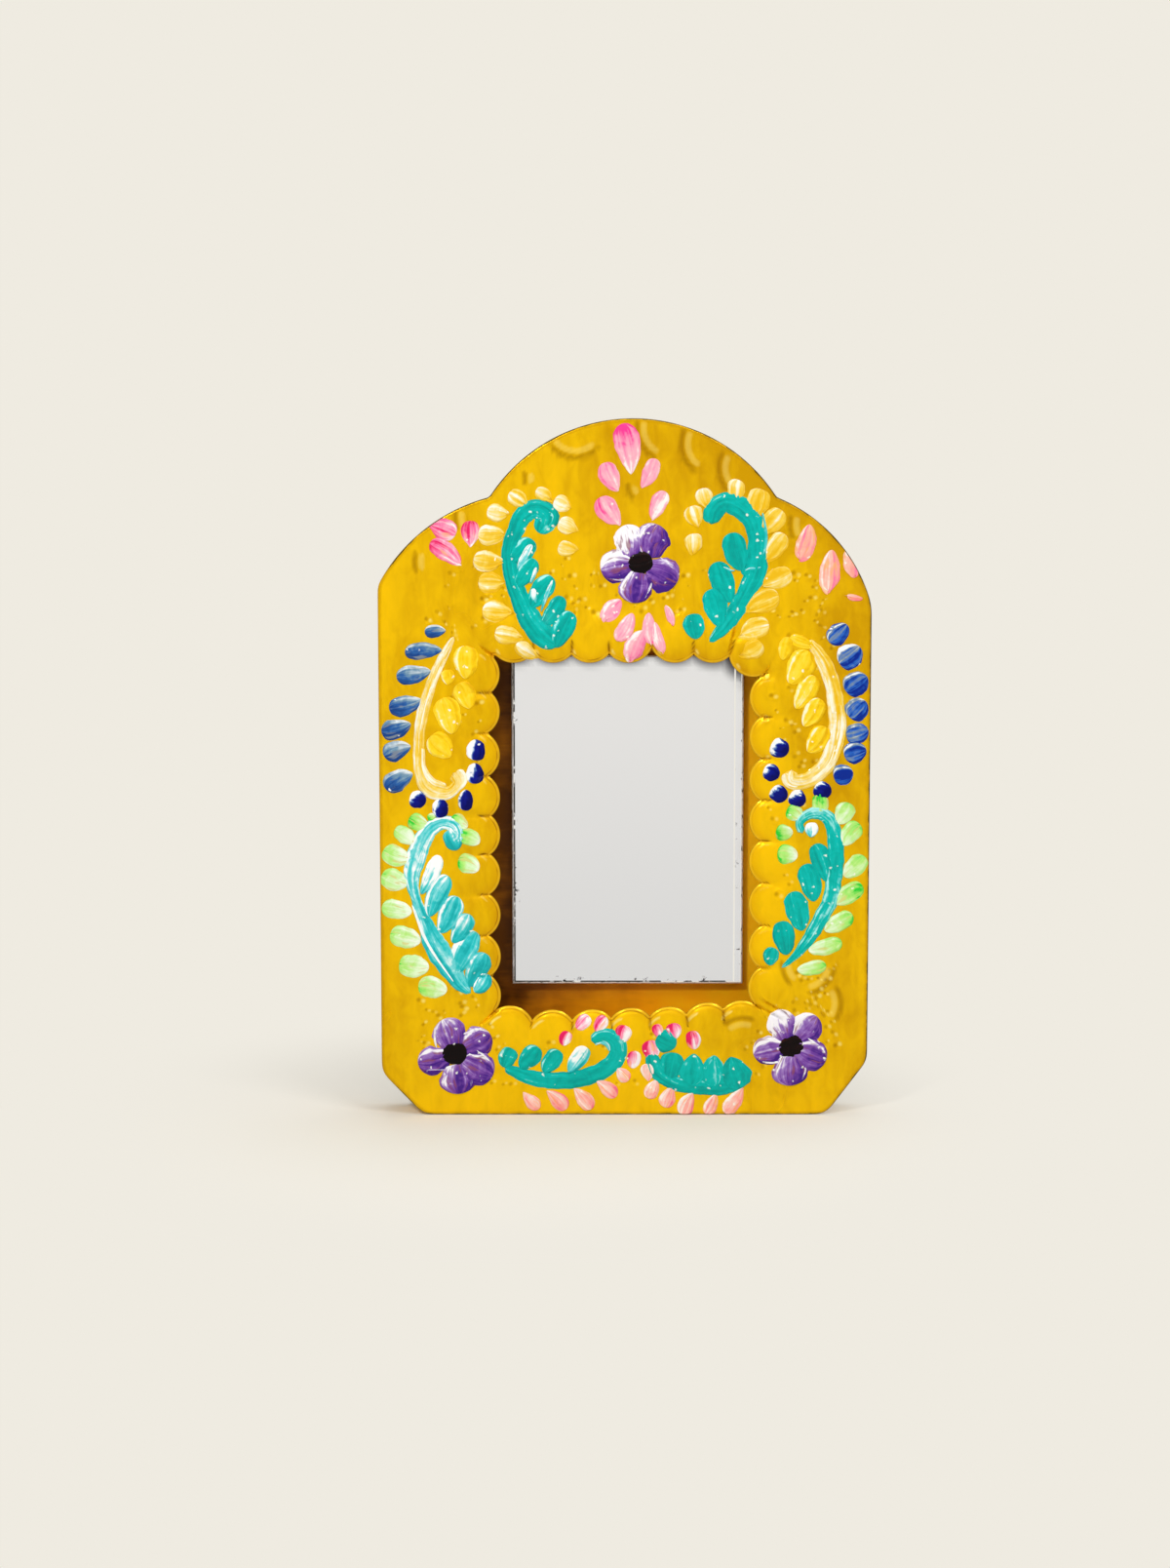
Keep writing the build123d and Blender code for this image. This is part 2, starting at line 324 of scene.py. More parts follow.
class Nodes:
    """Writes the nodes of a material, or of the world, in short lines."""

    def __init__(self, name, owner=None):
        self.material = owner or bpy.data.materials.new(name)
        self.material.use_nodes = True
        self.tree = self.material.node_tree
        self.shader = self.tree.nodes.get("Principled BSDF")

    def add(self, kind, inputs=(), **settings):
        """A node with its settings, and its inputs by name or number."""
        node = self.tree.nodes.new(kind)
        for name, value in settings.items():
            setattr(node, name, value)
        for key, value in dict(inputs).items():
            self.link(node.inputs[key], value)
        return node

    def link(self, socket, value):
        """Joins an output to a socket, or sets the socket's value."""
        if isinstance(value, bpy.types.NodeSocket):
            self.tree.links.new(value, socket)
        else:
            socket.default_value = value

    def set(self, **inputs):
        """Sets the shader's own sockets, whose names are given with underscores."""
        for name, value in inputs.items():
            self.link(self.shader.inputs[name.replace("_", " ")], value)

    def place(self, scale=(1, 1, 1), offset=(0, 0, 0)):
        """Object coordinates, scaled."""
        coordinates = self.add("ShaderNodeTexCoord").outputs["Object"]
        return self.add(
            "ShaderNodeMapping", {"Vector": coordinates, "Scale": scale, "Location": offset}
        ).outputs[0]

    def noise(self, vector, scale, detail=3.0, roughness=0.5, distortion=0.0):
        """Noise from 0 to 1."""
        return self.add("ShaderNodeTexNoise", {
            "Vector": vector, "Scale": scale, "Detail": detail, "Roughness": roughness,
            "Distortion": distortion,
        }).outputs[0]

    def range(self, value, low, high, to_low=0.0, to_high=1.0):
        """A value taken from one range to another and held there."""
        ends = {0: value, 1: low, 2: high, 3: to_low, 4: to_high}
        return self.add("ShaderNodeMapRange", ends).outputs[0]

    def math(self, operation, *values):
        """One operation taken along two values or more."""
        total = values[0]
        for value in values[1:]:
            total = self.add("ShaderNodeMath", {0: total, 1: value}, operation=operation).outputs[0]
        return total

    def axes(self):
        """The object coordinates apart, as x, y and z."""
        return self.add("ShaderNodeSeparateXYZ", {0: self.place()}).outputs

    def mix(self, share, a, b):
        """Two colours mixed, each a socket, a colour or a hex number."""
        node = self.add("ShaderNodeMix", data_type="RGBA")
        for number, value in ((0, share), (6, tint(a)), (7, tint(b))):
            self.link(node.inputs[number], value)
        return node.outputs[2]

    def ramp(self, value, *stops):
        """A colour ramp through (place, colour) stops."""
        node = self.add("ShaderNodeValToRGB", {0: value})
        elements = node.color_ramp.elements
        while len(elements) < len(stops):
            elements.new(0.5)
        for element, (place, tone) in zip(elements, stops):
            element.position = place
            element.color = tint(tone)
        return node.outputs[0]

    def attribute(self, name):
        """A number kept on the vertices."""
        return self.add("ShaderNodeAttribute", attribute_name=name).outputs["Fac"]

    def bump(self, height, strength, distance):
        """A bump for the shader."""
        normal = self.add(
            "ShaderNodeBump", {"Height": height, "Strength": strength, "Distance": distance}
        ).outputs[0]
        self.set(Normal=normal)


def enamel(name, sheet, edges=True):
    """Glossy yellow enamel with deeper patches, painted shade and painted highlights on its relief,
    and a dark line round its edge.
    """
    n = Nodes(name)
    streaks = n.noise(n.place((260, 260, 9)), 1.0, 4, 0.6, 0.4)
    broad = n.noise(n.place((1, 1, 0.6)), 34, 2, 0.5, 0.3)
    mottle = n.noise(n.place((1, 1, 0.5), (0.3, 0, 0)), 230, 3, 0.6, 0.6)
    fine = n.noise(n.place((1500, 1500, 160)), 1.0, 2)
    across, _, above = n.axes()
    depth = n.math(
        "ADD", n.range(streaks, 0.3, 0.72, 0, 0.2), n.range(broad, 0.36, 0.66, 0, 0.5),
        n.range(mottle, 0.35, 0.7, 0, 0.35),
    )
    # The tone is painted darker to the right as shade, deeper at the crest, along the left edge in
    # its upper half and at the upper right shoulder, and lighter at the foot but for its left
    # corner.
    for fuller, share in (
        (n.range(across, -0.02, 0.06, -0.1, 0.2), 1.0),
        (n.range(across, 0.055, 0.072, 0, 0.22), 1.0),
        (n.range(across, -0.055, -0.066, 0, 0.2), n.range(above, 0.08, 0.1)),
        (n.range(above, 0.176, 0.2, 0, 0.5), n.range(across, -0.03, 0.03, 0.35, 1.1)),
        (n.range(above, 0.15, 0.18, 0, 0.2), n.range(across, 0.02, 0.04)),
        (n.range(above, 0.0, 0.06, -0.3, 0), n.range(across, -0.04, 0.0, -0.4, 1)),
    ):
        depth = n.math("ADD", depth, n.math("MULTIPLY", fuller, share))
    if edges:
        # Painted light and shade on the side lobes: darker on the left column and lighter on the
        # right one, near the window and between 46 and 124 mm up.
        rim = n.attribute("rim")
        sides = n.math(
            "ADD", n.range(across, -0.036, -0.03, 0.25, 0), n.range(across, 0.03, 0.036, 0, -0.3)
        )
        depth = n.math("ADD", depth, n.math(
            "MULTIPLY", n.range(rim, 12, 6), sides, n.range(above, 0.134, 0.124),
            n.range(above, 0.036, 0.046),
        ))
    bright = tuple(min(1, c * 1.12) for c in sheet.yellow[:3]) + (1,)
    tone = n.ramp(depth, (0.1, bright), (0.45, sheet.yellow), (1.0, sheet.ochre))
    if edges:
        # Painted shade beside the punched dots and crescents, painted highlights on them and inside
        # the lobes' rims, and painted shade in the hollows and creases between the lobes.
        for mark, low, high, most, stain_and_painted_light in (
            ("painted_shade", 0.15, 0.9, 0.76, 0x865200), ("painted_highlight", 0.2, 1.0, 0.9, 0xFFEA7C),
            ("hollow_shade", 0.15, 0.9, 0.5, 0xB87A04), ("crease", 0.12, 0.6, 0.72, 0x5E3604),
        ):
            tone = n.mix(n.range(n.attribute(mark), low, high, 0, most), tone, stain_and_painted_light)
        ragged = n.range(n.noise(n.place(), 330, 3), 0.3, 0.7, -0.15, 0.2)
        border = n.math("ADD", n.attribute("edge"), ragged)
        dark = n.math(
            "MULTIPLY", n.range(border, 0.3, 0.5, 0.92, 0),
            n.range(across, -0.0722, -0.068, 0.15, 1),
        )
        # A painted line of shade runs just inside the window's edge, weaker to the right.
        hem_line_shade = n.math(
            "MULTIPLY", n.range(n.noise(n.place(), 210, 2), 0.42, 0.62, 0.1, 0.75),
            n.range(across, 0.02, 0.04, 1, 0.3), n.range(rim, 1.15, 0.95),
        )
        # Along the outline, an ochre band and a dark line; round the window, painted shade on the
        # lobes' rims within 3.4 mm, the line of shade, a painted highlight along the edge, and a
        # dark line at the cut edge.
        for share, stain_and_painted_light in (
            (n.range(border, 0.75, 1.3, 0.5, 0), 0xB98502), (dark, 0x3A2A10),
            (n.range(rim, 3.4, 0.9, 0, 0.3), 0xD89405), (hem_line_shade, 0xA0640A),
            (n.range(rim, 0.85, 0.6, 0, 0.7), 0xF2BE22),
            (n.range(rim, 0.22, 0.02, 0, 0.8), 0x6A3E0A),
        ):
            tone = n.mix(share, tone, stain_and_painted_light)
    n.set(Base_Color=tone, Metallic=0.22, Roughness=n.range(broad, 0.3, 0.7, 0.2, 0.28))
    n.set(Specular_IOR_Level=0.36, Specular_Tint=(1, 0.85, 0.08, 1))
    n.set(Coat_Weight=0.035, Coat_Roughness=0.06, Coat_IOR=1.5)
    n.bump(n.math("ADD", fine, n.math("MULTIPLY", streaks, 1.5)), 0.1, 0.0002)
    return n.material


def shaded_enamel(name):
    """The enamel inside the case, painted brown as shade: darkest to the left, lighter and yellower
    to the right.
    """
    n = Nodes(name)
    streaks = n.noise(n.place((60, 60, 420)), 1.0, 4, 0.6, 0.5)
    cloud = n.noise(n.place(), 60, 3, 0.6)
    depth = n.math(
        "ADD", n.math("MULTIPLY", n.range(n.axes()[0], -0.04, 0.042), 0.9),
        n.range(streaks, 0.3, 0.7, -0.04, 0.05), n.range(cloud, 0.3, 0.7, -0.12, 0.12),
    )
    tone = n.ramp(depth, (0.0, 0x6A3A02), (0.22, 0xC07404), (0.5, 0xF8A406), (0.9, 0xFFC40C))
    n.set(Base_Color=tone, Roughness=0.42, Specular_IOR_Level=0.15)
    n.bump(streaks, 0.15, 0.0002)
    return n.material


def tinplate(name):
    """Dull tinplate with soft spangle, rubbed streaks and brown flux stains."""
    n = Nodes(name)
    spangle = n.add("ShaderNodeTexVoronoi", {"Vector": n.place(), "Scale": 160}, feature="F1")
    cell = n.noise(spangle.outputs["Position"], 900, 0)
    rub = n.noise(n.place((900, 900, 30)), 1.0, 4, 0.6)
    stain_and_painted_light = n.noise(n.place(), 42, 5, 0.6)
    tone = n.ramp(cell, (0.3, 0xA9AAA8), (0.7, 0xC6C7C5))
    tone = n.mix(n.range(rub, 0.35, 0.7, 0, 0.4), tone, 0x8E8F8D)
    tone = n.mix(n.range(stain_and_painted_light, 0.6, 0.78, 0, 0.55), tone, 0x7C6A50)
    dull = n.math("ADD", n.range(stain_and_painted_light, 0.5, 0.8, 0.46, 0.6), n.range(rub, 0.3, 0.8, 0, 0.08))
    n.set(Base_Color=tone, Metallic=1.0, Roughness=dull)
    n.bump(rub, 0.025, 0.0002)
    return n.material


def solder(name):
    """Dull grey solder, frosty and a little rough."""
    n = Nodes(name)
    frost = n.noise(n.place(), 1400, 4, 0.6)
    tone = n.ramp(n.noise(n.place(), 260, 2), (0.3, 0x8B8C8C), (0.7, 0xB4B5B3))
    n.set(Base_Color=tone, Metallic=1.0, Roughness=n.range(frost, 0.3, 0.7, 0.32, 0.55))
    n.bump(frost, 0.3, 0.0002)
    return n.material


def glue(name):
    """Amber glue."""
    n = Nodes(name)
    cloud = n.noise(n.place(), 300, 3)
    n.set(Base_Color=n.ramp(cloud, (0.3, 0x8A6A35), (0.7, 0xC9A765)), Subsurface_Weight=0.1)
    n.set(Roughness=n.range(cloud, 0.3, 0.7, 0.3, 0.5))
    return n.material


def wire_finish(name, tone):
    """Galvanised wire with draw marks."""
    n = Nodes(name)
    marks = n.noise(n.place((300, 2200, 2200)), 1.0, 3)
    dull = tuple(c * 0.6 for c in tone[:3]) + (1,)
    n.set(Base_Color=n.ramp(marks, (0.3, dull), (0.65, tone)), Metallic=1.0)
    n.set(Roughness=n.range(marks, 0.3, 0.7, 0.25, 0.45))
    n.bump(marks, 0.2, 0.0001)
    return n.material


def silvering(name, glass):
    """Silver with a painted shadow under its head, painted bright lines of highlight and reflection
    at its edges, darker towards the bottom as painted reflection, and specks where it has lifted.
    """
    n = Nodes(name)
    x, _, z = n.axes()
    left = n.math("SUBTRACT", x, GLASS_LOW.x * MM)
    right = n.math("SUBTRACT", GLASS_HIGH.x * MM, x)
    below = n.math("SUBTRACT", z, GLASS_LOW.z * MM)
    near = n.math("MINIMUM", left, right, below)
    lifted = n.range(n.noise(n.place((260, 260, 260)), 1.0, 4, 0.7), 0.6, 0.63)
    broken = n.range(n.noise(n.place((150, 150, 150)), 1.0, 4, 0.7), 0.42, 0.46)
    specks = n.math(
        "MAXIMUM", n.math("MULTIPLY", n.range(near, 0.0026, 0.0012), lifted),
        n.math("MULTIPLY", n.range(n.math("MINIMUM", left, below), 0.00105, 0.00095), broken),
    )
    line = n.math(
        "MAXIMUM", n.range(near, 0.0009, 0.0007),
        n.math("MULTIPLY", n.range(right, 0.0024, 0.0025), n.range(right, 0.003, 0.0029)),
    )
    # The silver is painted darker towards the bottom as reflection, a painted shadow of the upper
    # lobes lies under the head, and painted bright lines of highlight and reflection run at the
    # edges and 2.4 to 3 mm inside the right edge.
    tone = n.mix(n.range(z, GLASS_LOW.z * MM, GLASS_HIGH.z * MM), 0xE9ECF4, glass.silver)
    for share, stain_and_painted_light in ((n.attribute("lobe_shadow"), 0x56565C), (line, 0xFDFDFD), (specks, 0x17130F)):
        tone = n.mix(share, tone, stain_and_painted_light)
    n.set(Base_Color=tone, Metallic=n.math("SUBTRACT", 1.0, specks))
    n.set(Roughness=n.range(n.noise(n.place(), 34, 2), 0.3, 0.7, 0.16, 0.2))
    return n.material


def ground_edge(name):
    """The ground edge of the glass: whitish, with a dark broken line."""
    n = Nodes(name)
    grain = n.noise(n.place((500, 2000, 500)), 1.0, 4, 0.7)
    tone = n.ramp(grain, (0.32, 0x1E1C1A), (0.38, 0x9A9C9A), (0.46, 0xFCFCFC))
    n.set(Base_Color=tone, Roughness=0.25, Coat_Weight=0.5)
    return n.material


def acrylic(name, *tones, fleck=None, contrast=1.0, stops=(0.15, 0.42, 0.66, 0.86), sparkle_cutoff=0.6):
    """Glossy artist's acrylic in four tones, deep to pale, half mixed on the brush.

    The vertices keep how much of the light tones the brush held, with a painted highlight along the
    stroke's edge that faces the upper left, and the UV map runs along the stroke."""
    n = Nodes(name)
    uv = n.add("ShaderNodeUVMap", uv_map="brush").outputs[0]

    def drawn_out(across, along, offset=0.0):
        return n.add("ShaderNodeMapping", {
            "Vector": uv, "Scale": (across, along, 1), "Location": (offset, offset, 0)
        }).outputs[0]

    broad = n.noise(drawn_out(0.62, 0.06), 1.0, 2, 0.5, 0.35)
    bristles = n.noise(drawn_out(2.2, 0.12, 3.0), 1.0, 3, 0.6, 0.2)
    swirl = n.noise(uv, 0.4, 2, 0.5, 0.8)
    drawn = n.math(
        "ADD", n.attribute("load"), n.range(broad, 0.28, 0.72, -0.4 * contrast, 0.4 * contrast),
        n.range(bristles, 0.3, 0.7, -0.13 * contrast, 0.13 * contrast),
        n.range(swirl, 0.3, 0.7, -0.12, 0.12),
    )
    tone = n.ramp(drawn, *zip(stops, tones))
    if fleck:
        rare = n.noise(drawn_out(0.8, 0.16, 17.0), 1.0, 2, 0.5, 0.3)
        tone = n.mix(n.range(rare, 0.58, 0.66, 0, 0.75), tone, fleck)
    # White beads scattered over the paint are painted sparkles of highlight.
    stir = n.add("ShaderNodeTexNoise", {"Vector": n.place(), "Scale": 1100.0, "Detail": 1.0})
    bent = n.add("ShaderNodeVectorMath", {
        0: stir.outputs["Color"], 1: (0.0012, 0.0012, 0.0012)
    }, operation="MULTIPLY").outputs[0]
    spot = n.add("ShaderNodeVectorMath", {0: n.place(), 1: bent}, operation="ADD").outputs[0]
    cells = n.add("ShaderNodeTexVoronoi", {"Vector": spot, "Scale": 420.0}, feature="F1")
    chosen = n.range(n.noise(cells.outputs["Position"], 900.0, 0), sparkle_cutoff, sparkle_cutoff + 0.02)
    painted_sparkle = n.math("MULTIPLY", n.range(cells.outputs["Distance"], 0.2, 0.1), chosen, 0.85)
    tone = n.mix(painted_sparkle, tone, 0xFFFFF4)
    n.set(Base_Color=tone, Roughness=n.range(bristles, 0.3, 0.7, 0.16, 0.28))
    n.set(Specular_IOR_Level=0.06)
    n.set(Coat_Weight=0.09, Coat_Roughness=0.05, Coat_IOR=1.5)
    n.bump(n.math("ADD", bristles, broad), 0.3, 0.0003)
    return n.material


# ---------------------------------------------------------------------------
# Outline, cut from the lip of the CAD sheet
# ---------------------------------------------------------------------------

OUTLINE_POINTS = 1600
CORNER_TURN = 0.25      # sine of the turn from which a corner is kept sharp
SOFTENINGS = 12         # rounds that soften the other corners


def outline_loop():
    """The sheet's outer edge as (x, z) points in mm, in order, at the corners of its facets."""
    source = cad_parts["front_sheet"]
    cut = source.copy()
    cut.data = source.data.copy()
    cut.parent = None
    bpy.context.scene.collection.objects.link(cut)
    with editing(cut):
        bpy.ops.mesh.remove_doubles(threshold=SEAM / 4 * MM)
        bpy.ops.mesh.bisect(
            plane_co=(0, (SHEET_HIGH.y - LIP / 4) * MM, 0), plane_no=(0, 1, 0),
            clear_inner=True, clear_outer=True,
        )
    points = points_of(cut)[:, (0, 2)]
    neighbours = {}
    for edge in cut.data.edges:
        a, b = edge.vertices
        neighbours.setdefault(a, []).append(b)
        neighbours.setdefault(b, []).append(a)
    start = int(np.argmin(points[:, 0]))
    loop, last = [start], None
    while len(loop) == 1 or loop[-1] != start:
        ahead = [v for v in neighbours[loop[-1]] if v != last]
        last = loop[-1]
        loop.append(ahead[0])
    bpy.data.objects.remove(cut)
    return points[loop[:-1]]


def spread(loop, count):
    """A closed loop cut into equal steps, anticlockwise, with its facets' corners softened."""
    area = np.sum(loop[:, 0] * np.roll(loop[:, 1], -1) - loop[:, 1] * np.roll(loop[:, 0], -1))
    loop = loop if area > 0 else loop[::-1]
    closed = np.vstack([loop, loop[:1]])
    run = run_of(closed)
    steps = np.linspace(0, run[-1], count, endpoint=False)
    even = np.stack([np.interp(steps, run, closed[:, axis]) for axis in (0, 1)], 1)
    ahead, behind = np.roll(even, -1, 0) - even, even - np.roll(even, 1, 0)
    turn = ahead[:, 0] * behind[:, 1] - ahead[:, 1] * behind[:, 0]
    lengths = np.linalg.norm(ahead, axis=1) * np.linalg.norm(behind, axis=1)
    sharp = np.abs(turn) > CORNER_TURN * lengths
    held = sharp | np.roll(sharp, 1) | np.roll(sharp, -1)
    for _ in range(SOFTENINGS):
        middle = (np.roll(even, 1, 0) + np.roll(even, -1, 0)) / 2
        even = np.where(held[:, None], even, (even + middle) / 2)
    return even


def inward(loop, inset):
    """A loop moved inwards, with its own points kept in step."""
    tangent = np.roll(loop, -1, 0) - np.roll(loop, 1, 0)
    for _ in range(2):
        tangent = (np.roll(tangent, 1, 0) + 2 * tangent + np.roll(tangent, -1, 0)) / 4
    tangent = unit(tangent)
    return loop + inset * np.stack([-tangent[:, 1], tangent[:, 0]], 1)


OUTLINE = spread(outline_loop(), OUTLINE_POINTS)

# ---------------------------------------------------------------------------
# Window: hand-beaten lobes, no two alike
# ---------------------------------------------------------------------------

WINDOW_LEFT, WINDOW_RIGHT = -37.0, 37.0      # tips of the side lobes
WINDOW_FOOT, WINDOW_HEAD = 32.6, 136.2       # tips of the lower and upper lobes
WINDOW_MIDDLE = np.array([(WINDOW_LEFT + WINDOW_RIGHT) / 2, (WINDOW_FOOT + WINDOW_HEAD) / 2])

# Heights of the side lobes' tips, and places of the upper and lower ones across.
LEFT_LOBES = (133.0, 121.8, 108.8, 96.3, 85.0, 73.2, 61.0, 48.4, 36.6)
RIGHT_LOBES = (38.8, 51.2, 64.2, 77.1, 89.4, 101.4, 114.2, 126.0)
TOP_LOBES = (-32.8, -21.2, -10.3, 1.2, 14.8, 26.0)
FOOT_LOBES = (-34.4, -21.6, -9.6, 2.0, 13.4, 24.8, 35.0)
FOOT_RISE = (0.8, -0.4, -0.3, 0.2, 0.5, 1.8, 2.4)    # the lower tips aren't level
CORNER_LOBE = (32.9, 134.2, -135)                    # tip, and the way it faces in degrees
LOBE_STEPS = 20                                      # points on the edge of a lobe


def lobe_middles(radius):
    """Every lobe as (x, z, facing x, facing z), clockwise round the window from its top left."""
    lobes = [(x, WINDOW_HEAD + radius, 0, -1) for x in TOP_LOBES]
    x, z, facing = CORNER_LOBE
    way = Vector((math.cos(math.radians(facing)), math.sin(math.radians(facing))))
    lobes.append((x - radius * way.x, z - radius * way.y, way.x, way.y))
    lobes += [(WINDOW_RIGHT + radius, z, -1, 0) for z in reversed(RIGHT_LOBES)]
    lobes += [
        (x, WINDOW_FOOT + rise - radius, 0, 1)
        for x, rise in zip(reversed(FOOT_LOBES), reversed(FOOT_RISE))
    ]
    lobes += [(WINDOW_LEFT - radius, z, 1, 0) for z in reversed(LEFT_LOBES)]
    return np.array(lobes)


def valley(one, two, radius):
    """Where the edges of two neighbouring lobes meet, on the window's side."""
    a, b = one[:2], two[:2]
    middle, gap = (a + b) / 2, b - a
    apart = np.linalg.norm(gap)
    rise = math.sqrt(max(radius**2 - (apart / 2) ** 2, 0))
    across = np.array([-gap[1], gap[0]]) / apart
    if np.dot(across, one[2:] + two[2:]) < 0:
        across = -across
    return middle + across * rise


def window_loop(lobes, radius):
    """The scalloped edge of the window, clockwise, and the loop's places of its valleys."""
    loop = []
    for i, lobe in enumerate(lobes):
        start = valley(lobes[i - 1], lobe, radius) - lobe[:2]
        end = valley(lobe, lobes[(i + 1) % len(lobes)], radius) - lobe[:2]
        facing = math.atan2(lobe[3], lobe[2])
        first = wrap(math.atan2(start[1], start[0]) - facing)
        last = wrap(math.atan2(end[1], end[0]) - facing)
        for step in range(LOBE_STEPS):
            angle = facing + first + (last - first) * step / LOBE_STEPS
            reach = radius if step else np.linalg.norm(start)
            loop.append(lobe[:2] + reach * np.array([math.cos(angle), math.sin(angle)]))
    return np.array(loop)


# ---------------------------------------------------------------------------
# Punched marks
# ---------------------------------------------------------------------------

# A dot is (x, z), in mm on the sheet.
DOTS = (
    (-17, 167), (-18.5, 165), (-48.5, 164.5), (-44.5, 164.5), (-21.5, 163), (-51, 162.5),
    (-9.5, 162.5), (-8, 162.5), (-15.5, 162), (-18, 161), (-21, 160), (-52.5, 159), (-9.5, 159),
    (-6.5, 159), (-42.5, 158.5), (-14.5, 158.5), (-35.5, 158), (-2, 156.5), (-36, 156),
    (-40, 155.5), (-16.5, 155.5), (-12.5, 155), (-41.5, 155), (-14.5, 154), (-52, 152.5),
    (-11, 152.5), (-14.5, 151.5), (-55, 151), (-32.5, 151), (-8.5, 151), (-58, 149), (-41.5, 149),
    (-53, 148), (-50.5, 147), (-44.5, 147), (-56, 147), (-50.5, 145.5), (-50.5, 144),
    (-37, 143.5), (-49.5, 143), (-46.5, 137.5), (-46, 134.5), (-47, 129), (-48, 127),
    (-51, 126.5), (-53, 125), (-43, 124.5), (-46, 123.5), (-50.5, 122), (-47.5, 121), (-43, 119),
    (-49, 119), (-44.5, 115.5), (-45.5, 112), (-43.5, 107), (-37, 92.5), (23.5, 163.5),
    (50.5, 162.5), (16, 162.5), (54, 162), (18, 162), (13, 161), (48, 161), (56.5, 160.5),
    (50.5, 160.5), (14, 160), (19, 159), (56, 158.5), (14.5, 158), (13.5, 156.5), (55.5, 155.5),
    (12, 155.5), (59, 155), (0.5, 155), (17, 155), (53.5, 154.5), (2.5, 154.5), (8, 154.5),
    (58, 153.5), (3, 153), (5.5, 152), (17, 152), (43, 152), (52.5, 151.5), (58.5, 151.5),
    (50, 151), (57, 151), (15, 151), (49, 150), (45.5, 150), (56.5, 148.5), (58.5, 147),
    (60.5, 144.5), (49, 144), (58.5, 143.5), (49.5, 142), (55.5, 141.5), (61.5, 141), (52.5, 140),
    (56.5, 134.5), (41.5, 132.5), (49, 128.5), (56.5, 128.5), (44, 126.5), (54, 126), (45, 122),
    (41.5, 120), (48.5, 119), (50, 118), (46.5, 117), (51, 116), (47, 113.5), (51, 109),
    (42, 108), (40.5, 107), (58.5, 107), (56.5, 107), (53, 107), (52.5, 105.5), (52.5, 94),
    (43, 93), (50, 92), (44.5, 90), (-52, 39.5), (-49.5, 38), (-57, 36.5), (-45, 36), (-61, 35),
    (-48.5, 34.5), (-44, 33.5), (-48, 33), (-59, 32), (-57, 31.5), (-54, 31.5), (-48.5, 31),
    (-55.5, 30), (-60, 28), (-40, 27.5), (-43, 27), (-60.5, 24), (-38.5, 24), (-61.5, 22.5),
    (-22, 22.5), (-59.5, 22), (-36, 22), (-6, 21), (-60, 20.5), (-38, 20.5), (-23.5, 20.5),
    (-37.5, 19), (-33.5, 14), (-32, 11), (-39.5, 10), (-36, 9.5), (-33.5, 9.5), (-2, 9.5),
    (48, 73), (49.5, 70.5), (46, 67), (51, 46), (63, 45.5), (62, 44.5), (52, 43), (55.5, 41.5),
    (58.5, 41.5), (53.5, 41.5), (61, 41.5), (60, 39.5), (58.5, 38), (55.5, 37.5), (60.5, 37),
    (58, 36), (56, 35.5), (51, 35), (54.5, 34.5), (56.5, 34), (45, 33.5), (58.5, 33), (55, 32.5),
    (59.5, 31.5), (61.5, 31.5), (51.5, 31.5), (60.5, 30.5), (42.5, 30), (62.5, 28.5), (61, 27),
    (40.5, 25.5), (63, 25), (8.5, 24.5), (61, 22.5), (38.5, 22.5), (64, 21.5), (60, 21),
    (36.5, 20.5), (42, 15), (40, 12.5), (3.5, 10),
)
# A crescent is (x, z of its circle's middle, radius, direction of its belly, half its sweep).
CRESCENTS = (
    (-14.5, 206, 7.5, -95, 62), (13, 205, 7.5, -155, 50), (26, 200.5, 7.5, -165, 52),
    (36.5, 193.5, 7, -170, 50), (-20.5, 190.5, 7, 180, 16), (-40.5, 179, 7.5, -175, 22),
    (-52.5, 166, 7.5, 180, 24), (58, 177, 7.5, -175, 26), (5.5, 188, 2.6, 200, 40),
    (54, 46, 7, -45, 45), (56, 34, 7, 0, 42), (35.5, 22, 6, 100, 42), (56.5, 46.5, 7.5, -160, 30),
)
# A slit is (x, z, x, z), from the corner of the window outwards.
SLITS = (
    (40.2, 33.2, 46.5, 29.8), (41.2, 35.2, 48.0, 31.4), (-38.6, 31.6, -42.6, 28.2),
    (-38.6, 138.0, -42.2, 140.6), (31.0, 140.2, 32.4, 145.8),
)
BLEND = 14              # how sharply lobes that meet run into each other
HEM_LINE = 0.06         # height of the fine line beaten along a lobe's edge, in mm
CREASE_DEPTH = 0.3      # between two lobes, in mm
BAND_SHARE = 0.42       # height of the raised band outside the lobes, as a share of theirs
BAND_WIDTH = 5          # in mm, before the band slopes down
BAND_SLOPE = 14
LEAST_ROOM = 0.03       # between the highest relief and the CAD sheet's box, in mm
WAVES = 14              # slow waves that are summed for the unevenness
SLOPE = 0.18            # how far a glint drifts outwards along its arc, in radii for a radian


